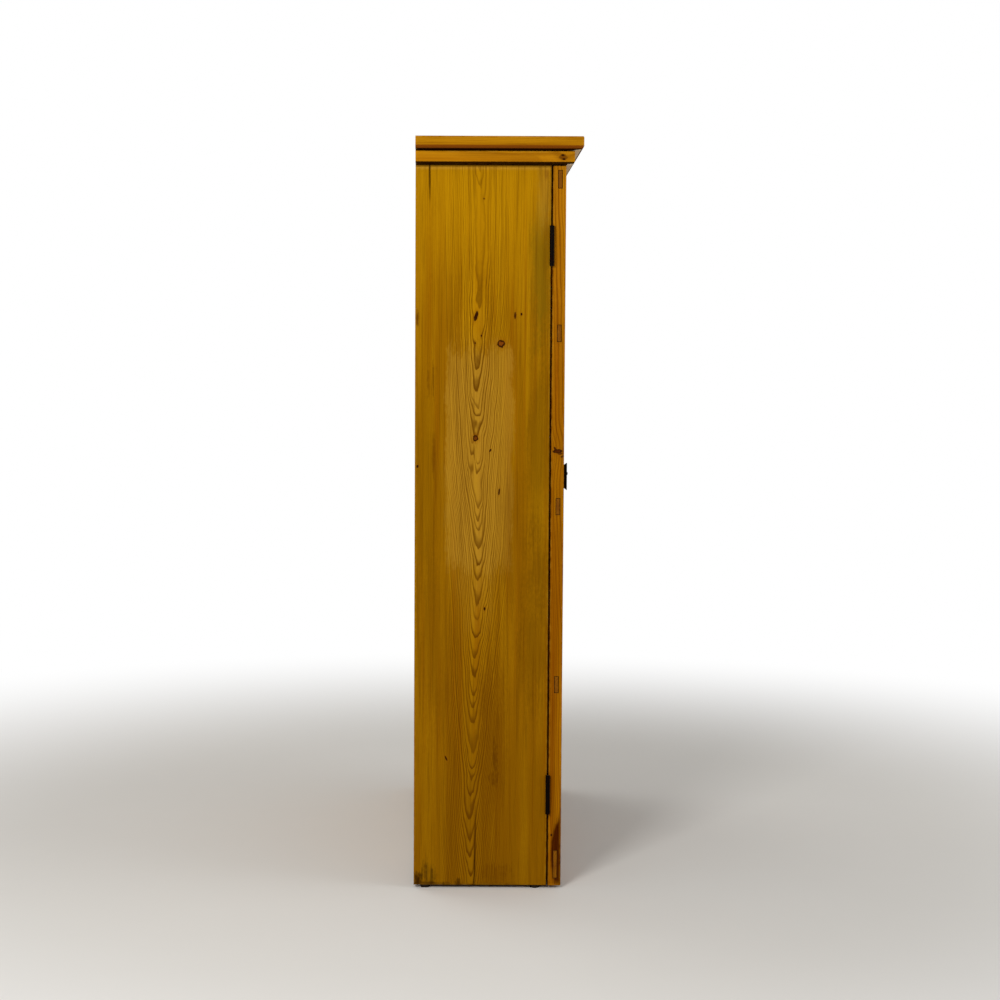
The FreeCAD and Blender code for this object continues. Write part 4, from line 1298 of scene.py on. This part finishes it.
def old_glass():
    material, w = new_material("old_sheet_glass")
    place = w.node("ShaderNodeTexCoord")["Object"]
    ripple = w.noise(place * RIPPLE_SCALE, detail=1.0)
    waves = w.node("ShaderNodeBump", Strength=0.25, Distance=RIPPLE, Height=ripple)
    film = w.ease(w.noise(place * FILM_SCALE, detail=4.0), *FILM_PATCHES) * FILM
    shader = w.node(
        "ShaderNodeBsdfPrincipled", Base_Color=GLASS_TINT, Roughness=film, IOR=CLEAR_IOR,
        Transmission_Weight=1.0, Normal=waves["Normal"])
    clear = w.node("ShaderNodeBsdfTransparent", Color=GLASS_TINT)
    shadow = w.node("ShaderNodeLightPath")["Is Shadow Ray"]
    mixed = w.node("ShaderNodeMixShader", Fac=shadow, Shader=shader["BSDF"], Shader_001=clear["BSDF"])
    w.node("ShaderNodeOutputMaterial", Surface=mixed["Shader"])
    return material


sheet_glass = old_glass()
for pane in sum(PANES.values(), []):
    panel = frame["nodes"][pane].data
    panel.materials.clear()
    panel.materials.append(sheet_glass)
print(sum(map(len, PANES.values())), "panes")

# %% [markdown]
# ## Iron and steel
# The hinges, the handle and the bolt's plate are blackened iron: almost black, dull, browned by a little
# rust, and rubbed to grey along their edges. The pins, the bolt and the spindle are bare iron that has gone
# dark. One group gives patches of rust and a fine pitted grain, and each metal picks its own colours. The
# rounded edges are marked on the mesh, so the rubbing follows the true edges of each piece.


# %% Mix the metals
class Metal(NamedTuple):
    """Display colours of a metal's skin, rust and rubbed edges, and how it shines."""

    skin: tuple
    rust: tuple
    bare: tuple
    rusted: float
    rough: float
    metallic: float


METALS = {
    "black_iron": Metal((6, 2, 1), (34, 11, 3), (60, 50, 42), rusted=0.35, rough=0.55, metallic=0.0),
    "bare_iron": Metal((74, 66, 58), (86, 52, 28), (128, 120, 112), rusted=0.4, rough=0.42, metallic=0.85),
    "steel_screws": Metal((92, 84, 74), (84, 52, 30), (150, 142, 134), rusted=0.45, rough=0.38, metallic=0.9),
    # The glide steel is rusty and dark, and darkened further as painted shade, since the glides stand in the
    # shadow under the cabinet.
    "glide_steel": Metal((40, 35, 30), (52, 32, 18), (90, 84, 78), rusted=0.5, rough=0.5, metallic=0.95),
}
IRON_GLOSS = 0.03
BLOTCH_SCALE = 160.0
RUST_PATCHES = (0.48, 0.7)
RUB_PATCHES = (0.4, 0.62)
RUB_SHARE = 0.6
RUST_DULLS = 0.25
PIT_SCALE = 1100.0
PIT_DEPTH = 0.15 * MM


def build_iron_skin():
    w, given = shader_group("iron_skin", ("Grain",), ("Rust", "Pits", "Rubbed"))
    blotch = given["Grain"] * BLOTCH_SCALE
    rust = w.ease(w.noise(blotch, detail=4.0), *RUST_PATCHES)
    rubbed = w.attribute("worn_edge") * w.ease(w.noise(blotch), *RUB_PATCHES)
    w.node("NodeGroupOutput", Rust=rust, Pits=w.noise(given["Grain"] * PIT_SCALE), Rubbed=rubbed)
    return w.tree


iron_skin = build_iron_skin()


def metal(slot):
    look = METALS[slot]
    material, w = new_material(slot)
    skin = w.place(iron_skin, Grain=w.node("ShaderNodeTexCoord")["Object"])
    colour = w.blend(skin["Rust"] * look.rusted, paint(*look.skin), paint(*look.rust))
    colour = w.blend(skin["Rubbed"] * RUB_SHARE, colour, paint(*look.bare))
    relief = w.node("ShaderNodeBump", Strength=0.4, Distance=PIT_DEPTH, Height=skin["Pits"])
    shader = w.node(
        "ShaderNodeBsdfPrincipled", Base_Color=colour, Roughness=skin["Rust"] * RUST_DULLS + look.rough,
        Metallic=look.metallic, Specular_IOR_Level=IRON_GLOSS, Normal=relief["Normal"])
    w.node("ShaderNodeOutputMaterial", Surface=shader["BSDF"])
    return material


metals = {slot: metal(slot) for slot in METALS}
print(sorted(metals))

# %% Soften the metal pieces
METAL_ARRIS = {"turn_handle": 1.1, "handle_catch": 0.6, "bolt_plate": 0.5}
PLAIN_METAL_ARRIS = 0.3
SHORT_EDGE = 2.5 * MM
METAL_STEPS = 3


def soften_metal(node):
    copy = welded_copy(node)
    radius = METAL_ARRIS.get(node, PLAIN_METAL_ARRIS) * MM
    worn = copy.faces.layers.float.new("worn_edge")
    for face in round_arrises(copy, radius, SHORT_EDGE, steps=METAL_STEPS):
        face[worn] = 1.0
    return hand_over(copy, f"{node}_forged", metals[slot_of[node]], node)


screw_nodes = sorted(node for node, slot in slot_of.items() if slot == "steel_screws")
metal_nodes = sorted(node for node, slot in slot_of.items() if slot in METALS and node not in screw_nodes)
forged = [soften_metal(node) for node in metal_nodes]
print(len(forged), "metal pieces")

# %% [markdown]
# ## Slotted screws
# Each hinge leaf is held by three countersunk screws, whose slots all stand at different angles.
# Twenty-four copies of one screw are a job for Geometry Nodes: a tree builds the head, cuts the slot, sets
# one on every point, turns it to face the way the leaf faces, and spins it by a random angle with a fixed
# seed.

# %% Build the screw tree
HEAD_SIDES = 20
SHANK_SIDES = 12
TIP_SHARE = 0.2
SLOT_PAST_RIM = 3.0


def set_on_points(w, given, shape, scale):
    """Puts a shape on every point, facing outward with a random spin, and ends the tree."""
    turned = w.node("FunctionNodeAlignRotationToVector", {"axis": "Z"}, Vector=w.named("facing"))["Rotation"]
    spin = w.chance(0.0, math.pi, given["Seed"])
    local = w.node("FunctionNodeAxisAngleToRotation", Axis=(0, 0, 1), Angle=spin)["Rotation"]
    both = w.node("FunctionNodeRotateRotation", {"rotation_space": "LOCAL"}, Rotation=turned, Rotate_By=local)
    real = w.copies(given["Points"], shape, Rotation=both["Rotation"], Scale=scale)
    return w.end(real, given["Finish"])


def build_screw_tree():
    lengths = ("Head radius", "Head height", "Slot width", "Slot depth", "Shank radius", "Shank length")
    w, given = geometry_tree("slotted_screws", lengths)
    radius = given["Head radius"]
    height = given["Head height"]
    shank_radius = given["Shank radius"]
    length = given["Shank length"]
    head = w.cone(HEAD_SIDES, radius, shank_radius, height, sunk=height)
    shank = w.cone(SHANK_SIDES, shank_radius, shank_radius * TIP_SHARE, length, sunk=length + height)
    bar = w.vector(radius * SLOT_PAST_RIM, given["Slot width"], given["Slot depth"] * 2.0)
    slot = w.node("GeometryNodeMeshCube", Size=bar)["Mesh"]
    cut = w.node("GeometryNodeMeshBoolean", {"operation": "DIFFERENCE"}, Mesh_1=head, Mesh_2=slot)
    whole = w.node("GeometryNodeJoinGeometry")
    for mesh in (shank, cut["Mesh"]):
        w.feed(whole.made.inputs["Geometry"], mesh)
    return set_on_points(w, given, whole["Geometry"], (1, 1, 1))


screw_tree = build_screw_tree()
print(screw_tree.name, len(screw_tree.nodes), "nodes")

# %% Drive the screws
DOOR_GAP_MIDDLE = (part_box("left_side")[0].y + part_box("left_hinge_stile")[1].y) / 2
SCREW = {
    "Head radius": 3.1 * MM, "Head height": 1.4 * MM, "Slot width": 0.8 * MM, "Slot depth": 0.7 * MM,
    "Shank radius": 1.7 * MM, "Shank length": 14 * MM,
}


def boxes_in(node):
    """The box of each separate solid in a node."""
    copy = welded_copy(node)
    boxes = [box_of(island) for island in islands(copy)]
    copy.free()
    return boxes


def drive_screws(node, seed):
    spots = []
    facing = []
    for low, high in boxes_in(node):
        middle = (low + high) / 2
        head_in_front = middle.y > DOOR_GAP_MIDDLE
        spots.append((middle.x, low.y if head_in_front else high.y, middle.z))
        facing.append((0, -1 if head_in_front else 1, 0))
    holder = points_object(f"{node}_slotted", spots, facing=facing)
    grow(holder, screw_tree, {**SCREW, "Seed": seed, "Finish": metals["steel_screws"]})
    adopt(holder, node)
    print(holder.name, len(spots), "screws,", len(holder.data.polygons), "faces")


for seed, node in enumerate(screw_nodes):
    drive_screws(node, seed)

# %% [markdown]
# ## Nails
# The cornice strips, the top, the back boards, the cleats and the beads are nailed. A nail shows as a small
# dark head, a little domed, never quite in line with its neighbours. Points are set out by rule along each
# piece, with a small seeded wander, and a second tree puts a head on each.

# %% Build the nail tree
NAIL_SIDES = 10
FLAT_SHARE = 0.72
NAIL_SIZES = (0.8, 1.15)


def build_nail_tree():
    w, given = geometry_tree("nail_heads", ("Head radius", "Rise"))
    radius = given["Head radius"]
    rise = given["Rise"]
    head = w.cone(NAIL_SIDES, radius * FLAT_SHARE, radius, rise * 2.0, sunk=rise)
    size = w.chance(*NAIL_SIZES, given["Seed"])
    return set_on_points(w, given, head, w.vector(size, size, 1.0))


nail_tree = build_nail_tree()
print(nail_tree.name, len(nail_tree.nodes), "nodes")

# %% Set out the nails of the carcass
wander = random.Random(17)
NAIL_WANDER = 2.5 * MM
CORNICE_INSETS = {"cornice_front": 40 * MM, "cap_front": 70 * MM}
CORNICE_NAILS = 5
TOP_NAIL_INSET = 18 * MM
TOP_NAILS = 3
BACK_BOARDS = [f"back_board_{number}" for number in range(1, 6)]
NAILED_LEVELS = ("bottom_board", "lower_shelf", "middle_shelf", "upper_shelf", "head_board")


def nail_row(start, finish, count, facing):
    """Points from start to finish, each a little off the line but still on the face."""
    rows = []
    for step in range(count):
        spot = Vector(start).lerp(Vector(finish), step / (count - 1))
        shift = Vector([wander.uniform(-NAIL_WANDER, NAIL_WANDER) for _ in range(3)])
        shift -= Vector(facing) * shift.dot(Vector(facing))
        rows.append((tuple(spot + shift), facing))
    return rows


def carcass_rows():
    """Every row of nails in the carcass: its first and last nail, their number and the way they face."""
    for strip, inset in CORNICE_INSETS.items():
        low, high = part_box(strip)
        height = (low.z + high.z) / 2
        yield (low.x + inset, low.y, height), (high.x - inset, low.y, height), CORNICE_NAILS, (0, -1, 0)
    for board in BACK_BOARDS:
        low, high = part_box(board)
        quarter = (high.x - low.x) / 4
        face = high.y - SHRINK_BACK
        for level in NAILED_LEVELS:
            height = sum(corner.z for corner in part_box(level)) / 2
            yield (low.x + quarter, face, height), (high.x - quarter, face, height), 2, (0, 1, 0)
    low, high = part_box("top_board")
    face = high.z - SHRINK_TOP
    for x in (low.x + TOP_NAIL_INSET, high.x - TOP_NAIL_INSET):
        yield (x, low.y + TOP_NAIL_INSET, face), (x, high.y - TOP_NAIL_INSET, face), TOP_NAILS, (0, 0, 1)
    for low, high in boxes_in("shelf_cleats"):
        on_left = low.x < 0
        face = high.x if on_left else low.x
        height = (low.z + high.z) / 2
        quarter = (high.y - low.y) / 4
        facing = (1 if on_left else -1, 0, 0)
        yield (face, low.y + quarter, height), (face, high.y - quarter, height), 2, facing


carcass_spots = [spot for row in carcass_rows() for spot in nail_row(*row)]
print(len(carcass_spots), "nails in the carcass")

# %% Set out the brads and drive all of them
NAIL_HEAD = {"Head radius": 1.9 * MM, "Rise": 0.25 * MM}
BRAD_HEAD = {"Head radius": 0.8 * MM, "Rise": 0.15 * MM}
BRAD_PLACES = (-0.6, 0.6)
SLANT = math.sqrt(0.5)
NAIL_SEED = 40


def bead_brads(side):
    """Brads driven slantwise through the round of each bead, two on every side of a pane."""
    spots = []
    depth = bead_depth(side)
    for pane in PANES[side]:
        for middle, run, inward, half_length in pane_sides(pane):
            on_round = middle + inward * (BEAD_GAP + BEAD_WIDTH * SLANT) + BACKWARD * depth * SLANT
            facing = (inward * depth + BACKWARD * BEAD_WIDTH).normalized()
            for way in BRAD_PLACES:
                slip = wander.uniform(-NAIL_WANDER, NAIL_WANDER)
                spots.append((on_round + run * (way * half_length + slip), facing))
    return spots


NAIL_JOBS = {
    "carcass_nails": ("carcass", carcass_spots, NAIL_HEAD),
    "left_bead_brads": ("left_door", bead_brads("left"), BRAD_HEAD),
    "right_bead_brads": ("right_door", bead_brads("right"), BRAD_HEAD),
}
for seed, (name, (body, spots, head)) in enumerate(NAIL_JOBS.items(), start=NAIL_SEED):
    places, facing = zip(*spots)
    nails = points_object(name, places, facing=facing)
    grow(nails, nail_tree, {**head, "Seed": seed, "Finish": metals["black_iron"]})
    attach(nails, body)
    print(name, len(spots), "heads")
